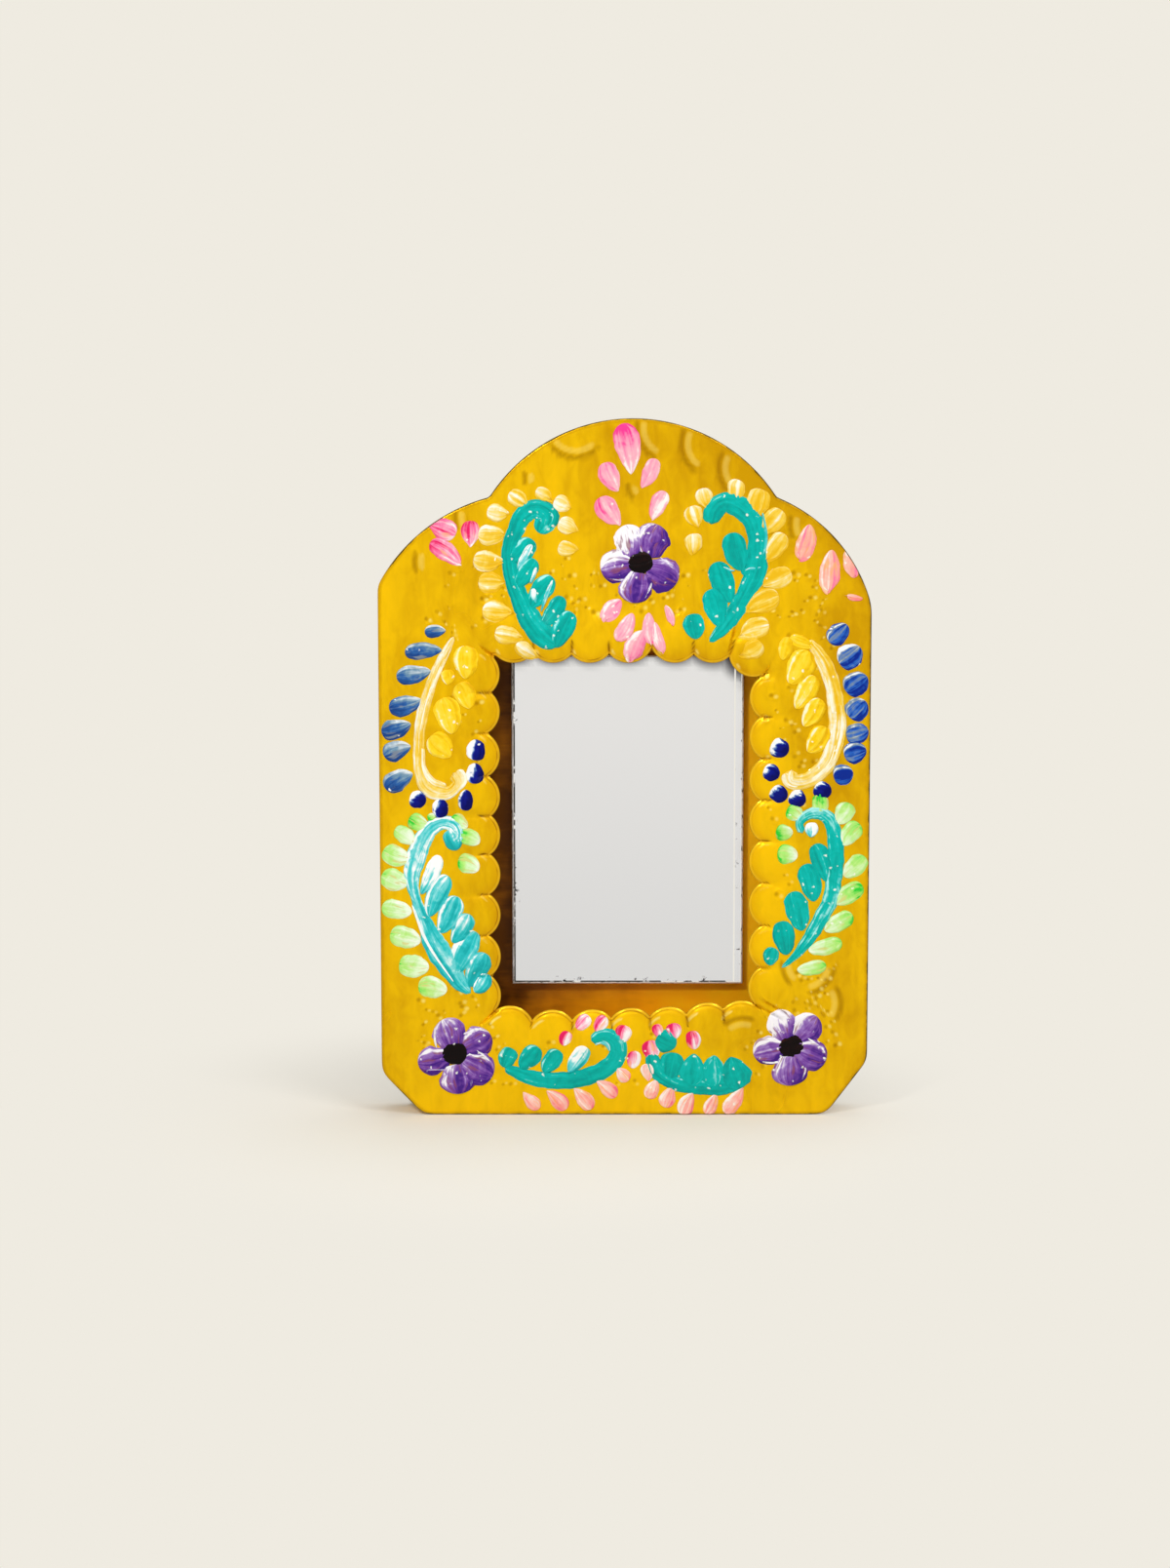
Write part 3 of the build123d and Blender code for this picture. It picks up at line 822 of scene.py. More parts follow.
class Relief:
    """The height of the pressed sheet, in mm, at any place of it."""

    def __init__(self, sheet):
        self.radius = sheet.lobe_radius / MM
        self.lobe = sheet.lobe_height / MM
        self.tail = sheet.lobe_tail / MM
        self.dot = sheet.dot_depth / MM
        self.dot_radius = sheet.dot_radius / MM
        self.crescent = sheet.crescent_height / MM
        self.half_crescent = sheet.crescent_width / MM / 2
        self.waves = sheet.unevenness / MM
        self.lobes = lobe_middles(self.radius)
        self.window = window_loop(self.lobes, self.radius)
        self.rim_tree = tree_of(self.window)
        self.edge_tree = tree_of(OUTLINE)
        chance = random.Random(4)
        self.wave_set = [
            (chance.uniform(0, 2 * math.pi), 2 * math.pi / chance.uniform(13, 46),
             chance.uniform(0, 2 * math.pi), chance.uniform(0.3, 1.0))
            for _ in range(WAVES)
        ]
        self.dot_sizes = [chance.uniform(0.6, 1.3) for _ in DOTS]
        self.dot_shade_sides = [chance.uniform(2.2, 4.0) for _ in DOTS]
        self.dot_shapes = [(chance.uniform(0, math.pi), chance.uniform(0.45, 1.0)) for _ in DOTS]
        self.dot_highlight_strength = [0.55 + 0.45 * chance.random() for _ in DOTS]
        self.lobe_sizes = [chance.uniform(0.9, 1.05) for _ in self.lobes]

    def keep_in(self, x, z, clear):
        """Places moved back onto the sheet, where they come nearer to its edge than clear."""
        near = np.array([self.edge_tree.find((px, 0, pz))[1] for px, pz in zip(x, z)])
        near = near % len(OUTLINE)
        along = unit(np.roll(OUTLINE, -1, 0) - np.roll(OUTLINE, 1, 0))
        out = np.column_stack([along[:, 1], -along[:, 0]])[near]
        inside = -np.sum((np.column_stack([x, z]) - OUTLINE[near]) * out, axis=1)
        back = np.clip(clear - inside, 0, None)
        return x - back * out[:, 0], z - back * out[:, 1]

    def unevenness(self, x, z):
        """Slow waves, as in any sheet worked by hand."""
        height = np.zeros_like(x)
        for way, pitch, phase, size in self.wave_set:
            height += size * np.sin(pitch * (x * math.cos(way) + z * math.sin(way)) + phase)
        return self.waves * height / 3

    def bulges(self, x, z):
        """The lobes, the creases between them, and masks for painted shade in the creases and in
        the hollows on both sides of a crease.
        """
        total = np.zeros_like(x)
        first, second = np.zeros_like(x), np.zeros_like(x)
        rim, ahead_of = np.zeros_like(x), np.zeros_like(x)
        for (cx, cz, fx, fz), size in zip(self.lobes, self.lobe_sizes):
            ahead = (x - cx) * fx + (z - cz) * fz
            aside = np.abs((z - cz) * fx - (x - cx) * fz) / self.radius
            out = np.hypot(np.clip(ahead, 0, None) / self.radius, aside)
            pillow = np.clip(1 - (out / 1.02) ** 2, 0, 1) ** 0.7
            ridge = np.clip(1 - (aside / 0.9) ** 2, 0, 1) ** 0.7
            ridge = ridge * (1 - smoothstep(-ahead / self.tail))
            own = smoothstep((ahead + 1.2) / 4.6)
            height = self.lobe * size * (own * pillow + (1 - own) * ridge)
            total += height**BLEND
            second = np.maximum(second, np.minimum(first, height))
            taller = height > first
            rim = np.where(taller, out, rim)
            ahead_of = np.where(taller, ahead, ahead_of)
            first = np.maximum(first, height)
        height = total ** (1 / BLEND)
        height += HEM_LINE * swell(rim - 0.93, 0.03) * (ahead_of > 1)
        height -= HEM_LINE * swell(rim - 0.86, 0.03) * smoothstep((ahead_of - 1) / 2)
        # The crease mask both deepens the crease and marks painted shade in it; the hollow mask
        # marks painted shade in the hollows beside it.
        close = np.exp(-(first - second) / 0.16) * (second > 0.05)
        forward = smoothstep((ahead_of + 0.5) / 2.5)
        crease = close * forward
        hollow_shade = np.exp(-(first - second) / 0.55) * smoothstep(second / 0.4) * forward
        height -= CREASE_DEPTH * crease
        return height, crease, hollow_shade

    def marks(self, x, z):
        """Dots and crescents: their height, and masks for their painted highlights and painted
        shade.
        """
        height, painted_highlight, painted_shade = np.zeros_like(x), np.zeros_like(x), np.zeros_like(x)
        for (dx, dz), size, lean, (way, slim), highlight_strength in zip(
            DOTS, self.dot_sizes, self.dot_shade_sides, self.dot_shapes, self.dot_highlight_strength
        ):
            near = (np.abs(x - dx) < 3) & (np.abs(z - dz) < 3)
            px, pz = x[near] - dx, z[near] - dz
            radius = self.dot_radius * size
            aside = pz * math.cos(way) - px * math.sin(way)
            out = np.hypot(np.hypot(px, pz), aside * math.sqrt(1 / slim**2 - 1)) / radius
            dent = np.clip(1 - out**2, 0, 1) ** 1.2
            height[near] += self.dot * size * (0.3 * swell(out - 1.2, 0.35) - dent)
            # A painted highlight lies on one side of the dent's middle, and painted shade on the
            # other.
            for kept, off, wide, most in (
                (painted_highlight, 0.62, 0.6, highlight_strength), (painted_shade, -0.6, 0.62, 0.36 + 0.5 * highlight_strength)
            ):
                wall = np.hypot(*off_to(px, pz, off * radius, lean))
                aslant = np.hypot(wall, aside * (1 / slim - 1)) / wide / radius
                kept[near] = np.maximum(kept[near], most * swell(aslant))
        for cx, cz, radius, way, sweep in CRESCENTS:
            out = np.hypot(x - cx, z - cz)
            turn = np.abs(wrap(np.arctan2(z - cz, x - cx) - math.radians(way)))
            past = np.clip(turn - math.radians(sweep) * 0.7, 0, None) / math.radians(sweep) / 0.3
            wall = (out - radius) / self.half_crescent
            held = np.clip(1 - past, 0, 1)
            ridge = np.clip(1 - wall**2, 0, 1) ** 1.3 * held
            height = np.maximum(height, self.crescent * ridge)
            painted_highlight = np.maximum(painted_highlight, 0.46 * ridge)
            painted_shade = np.maximum(painted_shade, 0.72 * swell(wall - 1.15, 0.55) * held)
            height = height - 0.18 * swell(wall + 1.5, 0.9) * held
        return height, painted_highlight, painted_shade

    def glint_arcs(self):
        """Short arcs inside the lobes' rims, on the side that faces the light, where a highlight is
        painted.

        Each is (x, z, reach from the lobe's middle, way, half sweep, share)."""
        arcs = []
        for cx, cz, fx, fz in self.lobes:
            reach, way, sweep, share = (
                (0.75, 142, 0.46, 1.1) if fz > 0.5 else (0.84, 222, 0.24, 1.2) if fz < -0.5
                else (0.75, 62, 0.34, 0.6) if fx > 0.9 else (0.75, 122, 0.4, 0.42)
            )
            arcs.append((cx, cz, reach, math.radians(way), sweep, share))
        return arcs

    def glints(self, x, z):
        """How strong the painted highlight is along those arcs."""
        thin = np.zeros_like(x)
        for cx, cz, reach, way, sweep, share in self.glint_arcs():
            turn = wrap(np.arctan2(z - cz, x - cx) - way)
            off = np.hypot(x - cx, z - cz) - self.radius * (reach + SLOPE * turn)
            held = smoothstep((sweep - np.abs(turn)) / 0.2)
            thin = np.maximum(thin, share * held * swell(off, 0.4))
        return thin

    def cuts(self, x, z):
        """Folded slits at the corners of the window: a groove with a raised lip beside it."""
        height = np.zeros_like(x)
        for ax, az, bx, bz in SLITS:
            run = math.hypot(bx - ax, bz - az)
            ux, uz = (bx - ax) / run, (bz - az) / run
            along = (x - ax) * ux + (z - az) * uz
            aside = (z - az) * ux - (x - ax) * uz
            held = smoothstep((along + 1.5) / 1.5) * (1 - smoothstep((along - run) / 2.0))
            height += held * (0.35 * swell(aside - 0.6, 0.5) - 0.75 * swell(aside, 0.32))
        return height

    def height(self, x, z):
        """The whole height, which dies out at the turned edge."""
        edge = nearest(self.edge_tree, x, z)
        rim = nearest(self.rim_tree, x, z)
        bulge = self.bulges(x, z)[0]
        band = BAND_SHARE * self.lobe * smoothstep(rim / BAND_WIDTH)
        band = band * (1 - smoothstep((rim - BAND_WIDTH) / BAND_SLOPE))
        bulge = (np.clip(bulge, 0, None) ** 5 + band**5) ** 0.2 + np.clip(bulge, None, 0)
        level = self.unevenness(x, z) + self.marks(x, z)[0] + self.cuts(x, z)
        whole = (bulge + level) * smoothstep((edge - 0.7) / 1.6)
        return np.minimum(whole, FRONT - SHEET_LOW.y - LEAST_ROOM)


def tree_of(loop):
    """A tree that finds the nearest point of a closed loop, with points added between its own."""
    between = np.vstack([loop, (loop + np.roll(loop, -1, 0)) / 2])
    tree = KDTree(len(between))
    for i, (x, z) in enumerate(between):
        tree.insert((x, 0, z), i)
    tree.balance()
    return tree


def nearest(tree, x, z):
    """The distance of each place to a loop."""
    away = [tree.find((px, 0, pz))[2] for px, pz in zip(np.ravel(x), np.ravel(z))]
    return np.reshape(away, np.shape(x))


# ---------------------------------------------------------------------------
# Front sheet
# ---------------------------------------------------------------------------

NEAR_RINGS = (
    0, 0.16, 0.36, 0.62, 0.95, 1.35, 1.8, 2.3, 2.8, 3.3, 3.8, 4.3, 4.8, 5.35, 5.9, 6.5, 7.2, 7.9,
    8.7, 9.6, 10.6,
)
FAR_RINGS = 26
FOLD_RINGS = 5
LIP_RINGS = 3


def spokes(loop):
    """For each point of the window's edge, the point of the outline that it looks to."""
    outline = OUTLINE[::-1]
    turn = np.unwrap(np.arctan2(outline[:, 1] - WINDOW_MIDDLE[1], outline[:, 0] - WINDOW_MIDDLE[0]))
    valleys = loop[::LOBE_STEPS] - WINDOW_MIDDLE
    bearing = np.unwrap(np.arctan2(valleys[:, 1], valleys[:, 0]))
    bearing += 2 * math.pi * round((turn[0] - bearing[0]) / (2 * math.pi))
    places = np.arange(len(outline))
    order = np.argsort(-turn)
    whole = np.concatenate([turn[order] + 2 * math.pi, turn[order], turn[order] - 2 * math.pi])
    marks = np.concatenate([
        places[order] - len(outline), places[order], places[order] + len(outline)
    ])
    at = np.interp(-bearing, -whole, marks)
    at = np.append(at, at[0] + len(outline))
    steps = np.arange(len(loop)) / LOBE_STEPS
    shares = np.interp(steps, np.arange(len(at)), at)
    blur = 2 * LOBE_STEPS
    padded = np.concatenate([
        shares[-blur:] - len(outline), shares, shares[:blur] + len(outline)
    ])
    kernel = np.hanning(LOBE_STEPS + 1) / np.hanning(LOBE_STEPS + 1).sum()
    return np.convolve(padded, kernel, "same")[blur:-blur], outline


def fold_at(radius, ring):
    """How far a ring of the fold lies inside the outline, and how deep."""
    turn = math.pi / 2 * ring / FOLD_RINGS
    return radius * (1 - math.sin(turn)), radius * (1 - math.cos(turn))


def sheet_rings(relief, fold_radius):
    """The rings of the front sheet, from the window's edge to the lip's, in mm."""
    loop = relief.window
    at, outline = spokes(loop)
    places = np.arange(len(outline))

    def outer(inset):
        moved = inward(outline[::-1], inset)[::-1]
        across, up = (np.interp(at, places, axis, period=len(outline)) for axis in moved.T)
        return np.column_stack([across, up])

    flat_edge = outer(fold_radius)
    reach = np.linalg.norm(flat_edge - loop, axis=1)[:, None]
    way = (flat_edge - loop) / reach
    rings = [(loop + way * near, 0.0) for near in NEAR_RINGS]
    for ring in range(1, FAR_RINGS + 1):
        share = ring / FAR_RINGS
        rings.append((loop + way * (NEAR_RINGS[-1] + (reach - NEAR_RINGS[-1]) * share), 0.0))
    for ring in range(1, FOLD_RINGS + 1):
        inset, depth = fold_at(fold_radius, ring)
        rings.append((outer(inset), depth))
    for ring in range(1, LIP_RINGS + 1):
        rings.append((outer(0), fold_radius + (LIP - fold_radius) * ring / LIP_RINGS))
    return stacked(rings)


def refine(piece, relief):
    """Finer faces where dots, crescents and slits are punched.

    Each target is (x, z, how far round it, size of the faces wanted)."""
    targets = [
        (x, z, 1.15 * relief.dot_radius * size, 0.4) for (x, z), size in zip(DOTS, relief.dot_sizes)
    ]
    for cx, cz, radius, way, sweep in CRESCENTS:
        for step in range(-6, 7):
            angle = math.radians(way + sweep * step / 6)
            targets.append((*off_to(cx, cz, radius, angle), 1.4, 0.8))
    for ax, az, bx, bz in SLITS:
        for step in range(7):
            targets.append((ax + (bx - ax) * step / 6, az + (bz - az) * step / 6, 1.0, 0.5))
    for cx, cz, reach, way, sweep, _ in relief.glint_arcs():
        for turn in np.linspace(-sweep, sweep, 7):
            out = relief.radius * (reach + SLOPE * turn)
            targets.append((*off_to(cx, cz, out, way + turn), 0.35, 0.5))
    for _ in range(3):
        mesh = piece.data
        middles = np.zeros(len(mesh.polygons) * 3)
        mesh.polygons.foreach_get("center", middles)
        middles = middles.reshape(-1, 3) / MM
        areas = np.zeros(len(mesh.polygons))
        mesh.polygons.foreach_get("area", areas)
        size = np.sqrt(areas) / MM
        chosen = np.zeros(len(middles), bool)
        for x, z, reach, fine in targets:
            near = np.hypot(middles[:, 0] - x, middles[:, 2] - z) < reach + size * 0.5
            chosen |= near & (size > fine * 1.25) & (middles[:, 1] < TINY)
        if not chosen.any():
            break
        split_faces(piece, chosen, number_cuts=1, ngon=False)


class TIN_OT_front_sheet(bpy.types.Operator):
    """Model the pressed and enamelled front sheet"""

    bl_idname = "tin_mirror.front_sheet"
    bl_label = "Front sheet"

    def execute(self, context):
        sheet = context.scene.tin_sheet
        fold = sheet.fold_radius / MM
        relief = Relief(sheet)
        piece = add_rings("front_sheet_pressed", sheet_rings(relief, fold))
        refine(piece, relief)
        points = points_of(piece)
        x, depth, z = points.T
        height = np.where(depth < TINY, relief.height(x, z), 0)
        past_fold = np.clip(depth - fold, 0, None)
        store(piece, "edge", nearest(relief.edge_tree, x, z) + past_fold)
        store(piece, "rim", nearest(relief.rim_tree, x, z))
        # Masks for the painted shade and painted highlights that the enamel reads.
        _, crease, hollow_shade = relief.bulges(x, z)
        store(piece, "crease", crease)
        store(piece, "hollow_shade", hollow_shade)
        _, painted_highlight, painted_shade = relief.marks(x, z)
        store(piece, "painted_highlight", np.maximum(painted_highlight, relief.glints(x, z)))
        store(piece, "painted_shade", painted_shade)
        points[:, 1] += FRONT - height
        place_points(piece, points)
        face_way(piece, -1)
        apply_modifier(piece, "SOLIDIFY", thickness=sheet.tin, offset=-1)
        smooth(piece, 50)
        finish = enamel("yellow_enamel_pressed", sheet)
        finish_piece(piece, finish, "case", ["front_sheet"])
        return {"FINISHED"}


# ---------------------------------------------------------------------------
# Case
# ---------------------------------------------------------------------------

BACK_RINGS = 30
BACK_COLUMNS = 400


class TIN_OT_case(bpy.types.Operator):
    """Model the back plate and finish the strips, the solder and the glue"""

    bl_idname = "tin_mirror.case"
    bl_label = "Case"

    def execute(self, context):
        sheet = context.scene.tin_sheet
        relief = Relief(sheet)
        fold = sheet.fold_radius / MM
        loop = OUTLINE[:: len(OUTLINE) // BACK_COLUMNS]
        middle = np.array([0, (BACK_LOW.z + BACK_HIGH.z) / 2])
        rings = [(loop, LIP - (LIP - fold) * ring / LIP_RINGS) for ring in range(LIP_RINGS)]
        for ring in range(FOLD_RINGS, -1, -1):
            inset, depth = fold_at(fold, ring)
            rings.append((inward(loop, inset), depth))
        flat_edge = rings[-1][0]
        for ring in range(1, BACK_RINGS + 1):
            share = ring / BACK_RINGS
            rings.append((flat_edge + (middle - flat_edge) * share, 0.0))
        rings = stacked(rings)
        x, depth, z = np.moveaxis(rings, 2, 0)
        dents = relief.unevenness(-x, z) * smoothstep((nearest(relief.edge_tree, x, z) - 1) / 8)
        rings[:, :, 1] = BACK - depth - np.abs(dents)
        piece = add_rings("back_plate_pressed", rings)
        face_way(piece, 1)
        piece.data.materials.append(tinplate("tinplate_back"))
        piece.data.materials.append(shaded_enamel("yellow_enamel_inside"))
        apply_modifier(piece, "SOLIDIFY", thickness=sheet.tin, offset=-1, material_offset=1)
        smooth(piece, 50)
        finish_piece(piece, None, "case", ["back_plate"])

        band = enamel("band_enamel", sheet, edges=False)
        for node in ("crest_band", "left_band", "right_band", "base_band"):
            dress(node, band)
        for node in ("seam_solder", "strap_solder"):
            dress(node, solder(node + "_grey"))
        dress("glue_spots", glue("amber_glue"))
        return {"FINISHED"}


def dress(node, material):
    """Gives a CAD node a finish."""
    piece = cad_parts[node]
    piece.data.materials.clear()
    piece.data.materials.append(material)


# ---------------------------------------------------------------------------
# Looking glass
# ---------------------------------------------------------------------------

GLASS_CUTS = 63         # across its face, so that the vertices can hold the painted shadow


class TIN_OT_looking_glass(bpy.types.Operator):
    """Model the looking glass"""

    bl_idname = "tin_mirror.looking_glass"
    bl_label = "Looking glass"

    def execute(self, context):
        glass = context.scene.tin_glass
        size = (GLASS_HIGH - GLASS_LOW) * MM
        middle = (GLASS_HIGH + GLASS_LOW) / 2 * MM
        bpy.ops.object.select_all(action="DESELECT")
        bpy.ops.mesh.primitive_cube_add(size=1, location=middle, scale=size)
        piece = bpy.context.active_object
        piece.name = "looking_glass"
        bpy.ops.object.transform_apply(location=True, rotation=False, scale=True)
        in_front = np.abs(points_of(piece)[:, 1] - GLASS_LOW.y) < SEAM
        for face in piece.data.polygons:
            face.select = False
        for edge in piece.data.edges:
            edge.select = all(in_front[v] for v in edge.vertices)
        piece.data.vertices.foreach_set("select", in_front)
        bpy.ops.object.mode_set(mode="EDIT")
        bpy.ops.mesh.select_mode(type="EDGE")
        bpy.ops.mesh.bevel(offset=glass.bevel, segments=2, profile=0.5, affect="EDGES")
        bpy.ops.object.mode_set(mode="OBJECT")
        faces = [face.normal.y < -0.99 for face in piece.data.polygons]
        split_faces(piece, faces, number_cuts=GLASS_CUTS)
        x, _, z = points_of(piece).T
        close = nearest(Relief(context.scene.tin_sheet).rim_tree, x, z)
        # The painted shadow hangs under the window's upper lobes, darker and lower down at the
        # right corner.
        corner = smoothstep((x - 10) / 28)
        reach = 2.9 + 2.2 * corner
        under = smoothstep((z - 126) / 6)
        store(piece, "lobe_shadow", (0.8 + 0.15 * corner) * (1 - smoothstep(close / reach)) * under)
        piece.data.materials.append(silvering("silvering", glass))
        piece.data.materials.append(ground_edge("ground_edge"))
        for face in piece.data.polygons:
            face.material_index = 0 if face.normal.y < -0.99 else 1
        finish_piece(piece, None, "case", ["mirror_glass"])
        return {"FINISHED"}


# ---------------------------------------------------------------------------
# Hanger
# ---------------------------------------------------------------------------

RING_CORNER = 2.5       # radius of the ring's two corners, on the wire's middle line


class TIN_OT_hanger(bpy.types.Operator):
    """Model the wire ring and finish its strap"""

    bl_idname = "tin_mirror.hanger"
    bl_label = "Hanger"

    def execute(self, context):
        wire = (RING_HIGH.y - RING_LOW.y) / 2
        leg_z = RING_HIGH.z - wire
        leg_y = (RING_HIGH.y + RING_LOW.y) / 2
        half = (RING_HIGH.x - RING_LOW.x) / 2 - wire
        corner_x, corner_z = half - RING_CORNER, leg_z - RING_CORNER
        bow = np.linspace(0, math.pi, 29)
        quarter = np.linspace(0, math.pi / 2, 13)[1:-1]
        leg = np.linspace(-corner_x, corner_x, 9)
        points = np.hstack([
            off_to(0, RING_LOW.z + wire + half, half, -bow),
            off_to(-corner_x, corner_z, RING_CORNER, math.pi - quarter),
            (leg, np.full(len(leg), leg_z)),
            off_to(corner_x, corner_z, RING_CORNER, math.pi / 2 - quarter),
        ]).T
        curve = bpy.data.curves.new("wire_ring", "CURVE")
        curve.dimensions = "3D"
        curve.bevel_depth = wire * MM
        curve.bevel_resolution = 5
        spline = curve.splines.new("POLY")
        spline.points.add(len(points) - 1)
        for point, (x, z) in zip(spline.points, points):
            point.co = (x * MM, leg_y * MM, z * MM, 1)
        spline.use_cyclic_u = True
        ring = bpy.data.objects.new("wire_ring", curve)
        bpy.context.scene.collection.objects.link(ring)
        pick(ring)
        bpy.ops.object.convert(target="MESH")
        ring = bpy.context.active_object
        smooth(ring, 60)
        finish = wire_finish("wire", context.scene.tin_hanger.wire)
        finish_piece(ring, finish, "ring", ["hanger_ring"])
        dress("hanger_strap", tinplate("tinplate_strap"))
        return {"FINISHED"}


# ---------------------------------------------------------------------------
# Brushwork
# ---------------------------------------------------------------------------

EDGE_CLEAR = 0.35       # paint stops this far from the sides of the case, in mm
LEAST_PAINT = 0.03      # height of the thinnest paint, in mm
LAYER_STEP = 0.035      # how much higher each layer lies, in mm
SIDE_WOBBLE = 0.055     # how uneven a stroke's sides are, as a share of its width
ACROSS = 14             # faces across a stroke
DAB_STEPS = 20          # and along a dab
PETAL_HEAD = 0.46       # how much of a petal's length its round head takes


class Brush:
    """Lays strokes of one colour on the relief, and joins them into one piece."""

    def __init__(self, name, context, seed):
        self.name = name
        self.relief = Relief(context.scene.tin_sheet)
        self.body = context.scene.tin_paint.body / MM
        self.sunk = context.scene.tin_paint.sunk / MM
        self.chance = random.Random(seed)
        self.blanks = {}
        self.strokes = []

    def blank(self, along):
        """A closed slab to bend into strokes, with each vertex's share along, across and up."""
        if along not in self.blanks:
            slab, _, _ = add_grid("blank", along, ACROSS)
            with editing(slab):
                bpy.ops.mesh.extrude_region_move(TRANSFORM_OT_translate={"value": (0, 0, 1)})
                bpy.ops.mesh.select_all(action="SELECT")
                bpy.ops.mesh.normals_make_consistent(inside=False)
            self.blanks[along] = (slab, points_of(slab) * MM + (0.5, 0.5, 0))
        return self.blanks[along]

    def wobble(self, run, size):
        """An uneven edge: how much wider or narrower a side is at each place of the run."""
        swing = sum(
            self.chance.uniform(0.4, 1) / wave
            * np.sin(run * wave * self.chance.uniform(0.9, 1.4) + self.chance.uniform(0, 6))
            for wave in (1.1, 2.3, 4.6)
        )
        return 1 + size * swing

    def lay(self, middle, half, light, layer, height, ridges, rag, edge_glint_share):
        """One stroke: its middle line, half its width, how light it is along and across."""
        along = len(middle) - 1
        slab, shares = self.blank(along)
        piece = slab.copy()
        piece.data = slab.data.copy()
        bpy.context.scene.collection.objects.link(piece)
        u, v, top = shares[:, 0], 2 * shares[:, 1] - 1, shares[:, 2] > 0.5
        row = np.round(u * along).astype(int)
        tangent = unit(np.gradient(middle, axis=0))
        normal = np.column_stack([-tangent[:, 1], tangent[:, 0]])
        run = run_of(middle)
        one_side, other_side = (self.wobble(run, SIDE_WOBBLE)[row] for _ in range(2))
        sides = np.where(v > 0, one_side, other_side)
        flat = middle[row] + normal[row] * (v * half[row] * sides)[:, None]
        if rag:
            fingers = sum(
                self.chance.uniform(0.5, 1) * np.sin(v * wave + self.chance.uniform(0, 6))
                for wave in (5, 9, 15)
            )
            tip = smoothstep((u - 0.55) / 0.45) if rag > 0 else smoothstep((0.45 - u) / 0.45)
            flat += tangent[row] * (rag * fingers * tip)[:, None]
        x, z = self.relief.keep_in(flat[:, 0], flat[:, 1], EDGE_CLEAR)
        thin = np.clip(half[row] / max(half.max(), 1e-6), 0, 1)
        edge = np.clip(1 - np.abs(v) ** 3, 0, 1) ** 0.6
        phases = (1, self.chance.uniform(0, 6), self.chance.uniform(0, 6))
        rib = sum(
            self.chance.uniform(0.4, 1) * np.sin(v * wave * self.chance.uniform(0.8, 1.2) + phase)
            for wave, phase in zip((4, 8, 14), phases)
        ) / 2
        lip = 0.3 * swell(np.abs(v) - 0.75, 0.14) + 0.35 * swell(u, 0.14)
        paint = self.body * height * (0.6 + 0.3 * ridges * rib + lip) * edge * thin**0.45
        lift = np.where(top, paint + LEAST_PAINT + LAYER_STEP * layer, -self.sunk)
        y = np.maximum(FRONT - self.relief.height(x, z) - lift, SHEET_LOW.y + 0.01)
        place_points(piece, np.column_stack([x, y, z]))
        seed = self.chance.uniform(0, 400)
        uv = piece.data.uv_layers[0]
        uv.name = "brush"
        loops = np.zeros(len(piece.data.loops), int)
        piece.data.loops.foreach_get("vertex_index", loops)
        uvs = np.column_stack([(v * half.max() + seed)[loops], (run[row] + seed)[loops]])
        uv.data.foreach_set("uv", uvs.ravel())
        # A painted highlight lightens the edge of each stroke that faces the upper left.
        lit = v * (normal @ np.array([-0.6, 0.8]))[row]
        broken = self.wobble(run, 0.6)[row]
        crest = np.clip(lit, 0, 1) * swell(np.abs(v) - 0.74, 0.13) * broken
        store(piece, "load", light(u, v) + 0.12 * ridges * rib + edge_glint_share * crest)
        self.strokes.append(piece)

    def dab(self, place, point=0.3, light=0.5, side=0.35, way=90, layer=0, height=1.0, ridges=1.0,
            full=2.3, rag=0.0, petal=False, edge_glint_share=0.4):
        """A press of a round brush: (x, z, length, width, way of its head in degrees)."""
        x, z, long, wide, turn = place
        s = (1 - np.cos(np.linspace(0, math.pi, DAB_STEPS + 1))) / 2
        bend = self.chance.uniform(-0.06, 0.06) * long
        heading = np.array(off_to(0, 0, 1, math.radians(turn)))
        aside = np.array([-heading[1], heading[0]])
        middle = (
            np.array([x, z]) + np.outer((0.5 - s) * long, heading)
            + np.outer(bend * np.sin(math.pi * s), aside)
        )
        round_half = np.sqrt(np.clip(1 - np.abs(2 * s**0.85 - 1) ** full, 0, 1))
        drop_half = 2.598 * np.sqrt(s) * (1 - s)
        half = wide / 2 * ((1 - point) * round_half + point * drop_half)
        if petal:
            head = np.sqrt(np.clip(1 - (1 - s / PETAL_HEAD) ** 2, 0, 1))
            waist = 1 - 0.4 * smoothstep((s - PETAL_HEAD) / (1 - PETAL_HEAD))
            foot = np.sqrt(np.clip((1 - s) / 0.06, 0, 1))
            half = wide / 2 * np.where(s < PETAL_HEAD, head, waist) * foot
        half = np.maximum(half, 0.004)
        lean = math.radians(way)
        base = light + self.chance.uniform(-0.08, 0.08)

        def brightness(u, v):
            across = v * wide / 2 / max(long / 2, 1e-6)
            px = (1 - 2 * u) * heading[0] - across * aside[0]
            pz = (1 - 2 * u) * heading[1] - across * aside[1]
            return base + side * (px * math.cos(lean) + pz * math.sin(lean))

        self.lay(middle, half, brightness, layer, height, ridges, rag, edge_glint_share)

    def scroll(self, path, light=0.35, head_light=0.0, layer=0, steps=72, height=1.0, edge_glint_share=0.4,
               ridges=1.0):
        """A long curved stroke through (x, z, width) points, from its curled head to its tail."""
        knots = np.array(path, float)
        run = run_of(knots[:, :2])
        at = np.linspace(0, run[-1], steps + 1)
        x, z, wide = (spline_through(run, values, at) for values in knots.T)
        near = np.minimum(at, run[-1] - at)
        blunt = np.clip(near / np.maximum(wide / 2, 0.2), 0, 1)
        half = np.maximum(wide / 2 * np.sqrt(np.clip(1 - (1 - blunt) ** 2, 0, 1)), 0.004)

        def brightness(u, v):
            return light + head_light * (1 - u) + 0.1 * v

        self.lay(np.column_stack([x, z]), half, brightness, layer, height, ridges, 0.0, edge_glint_share)

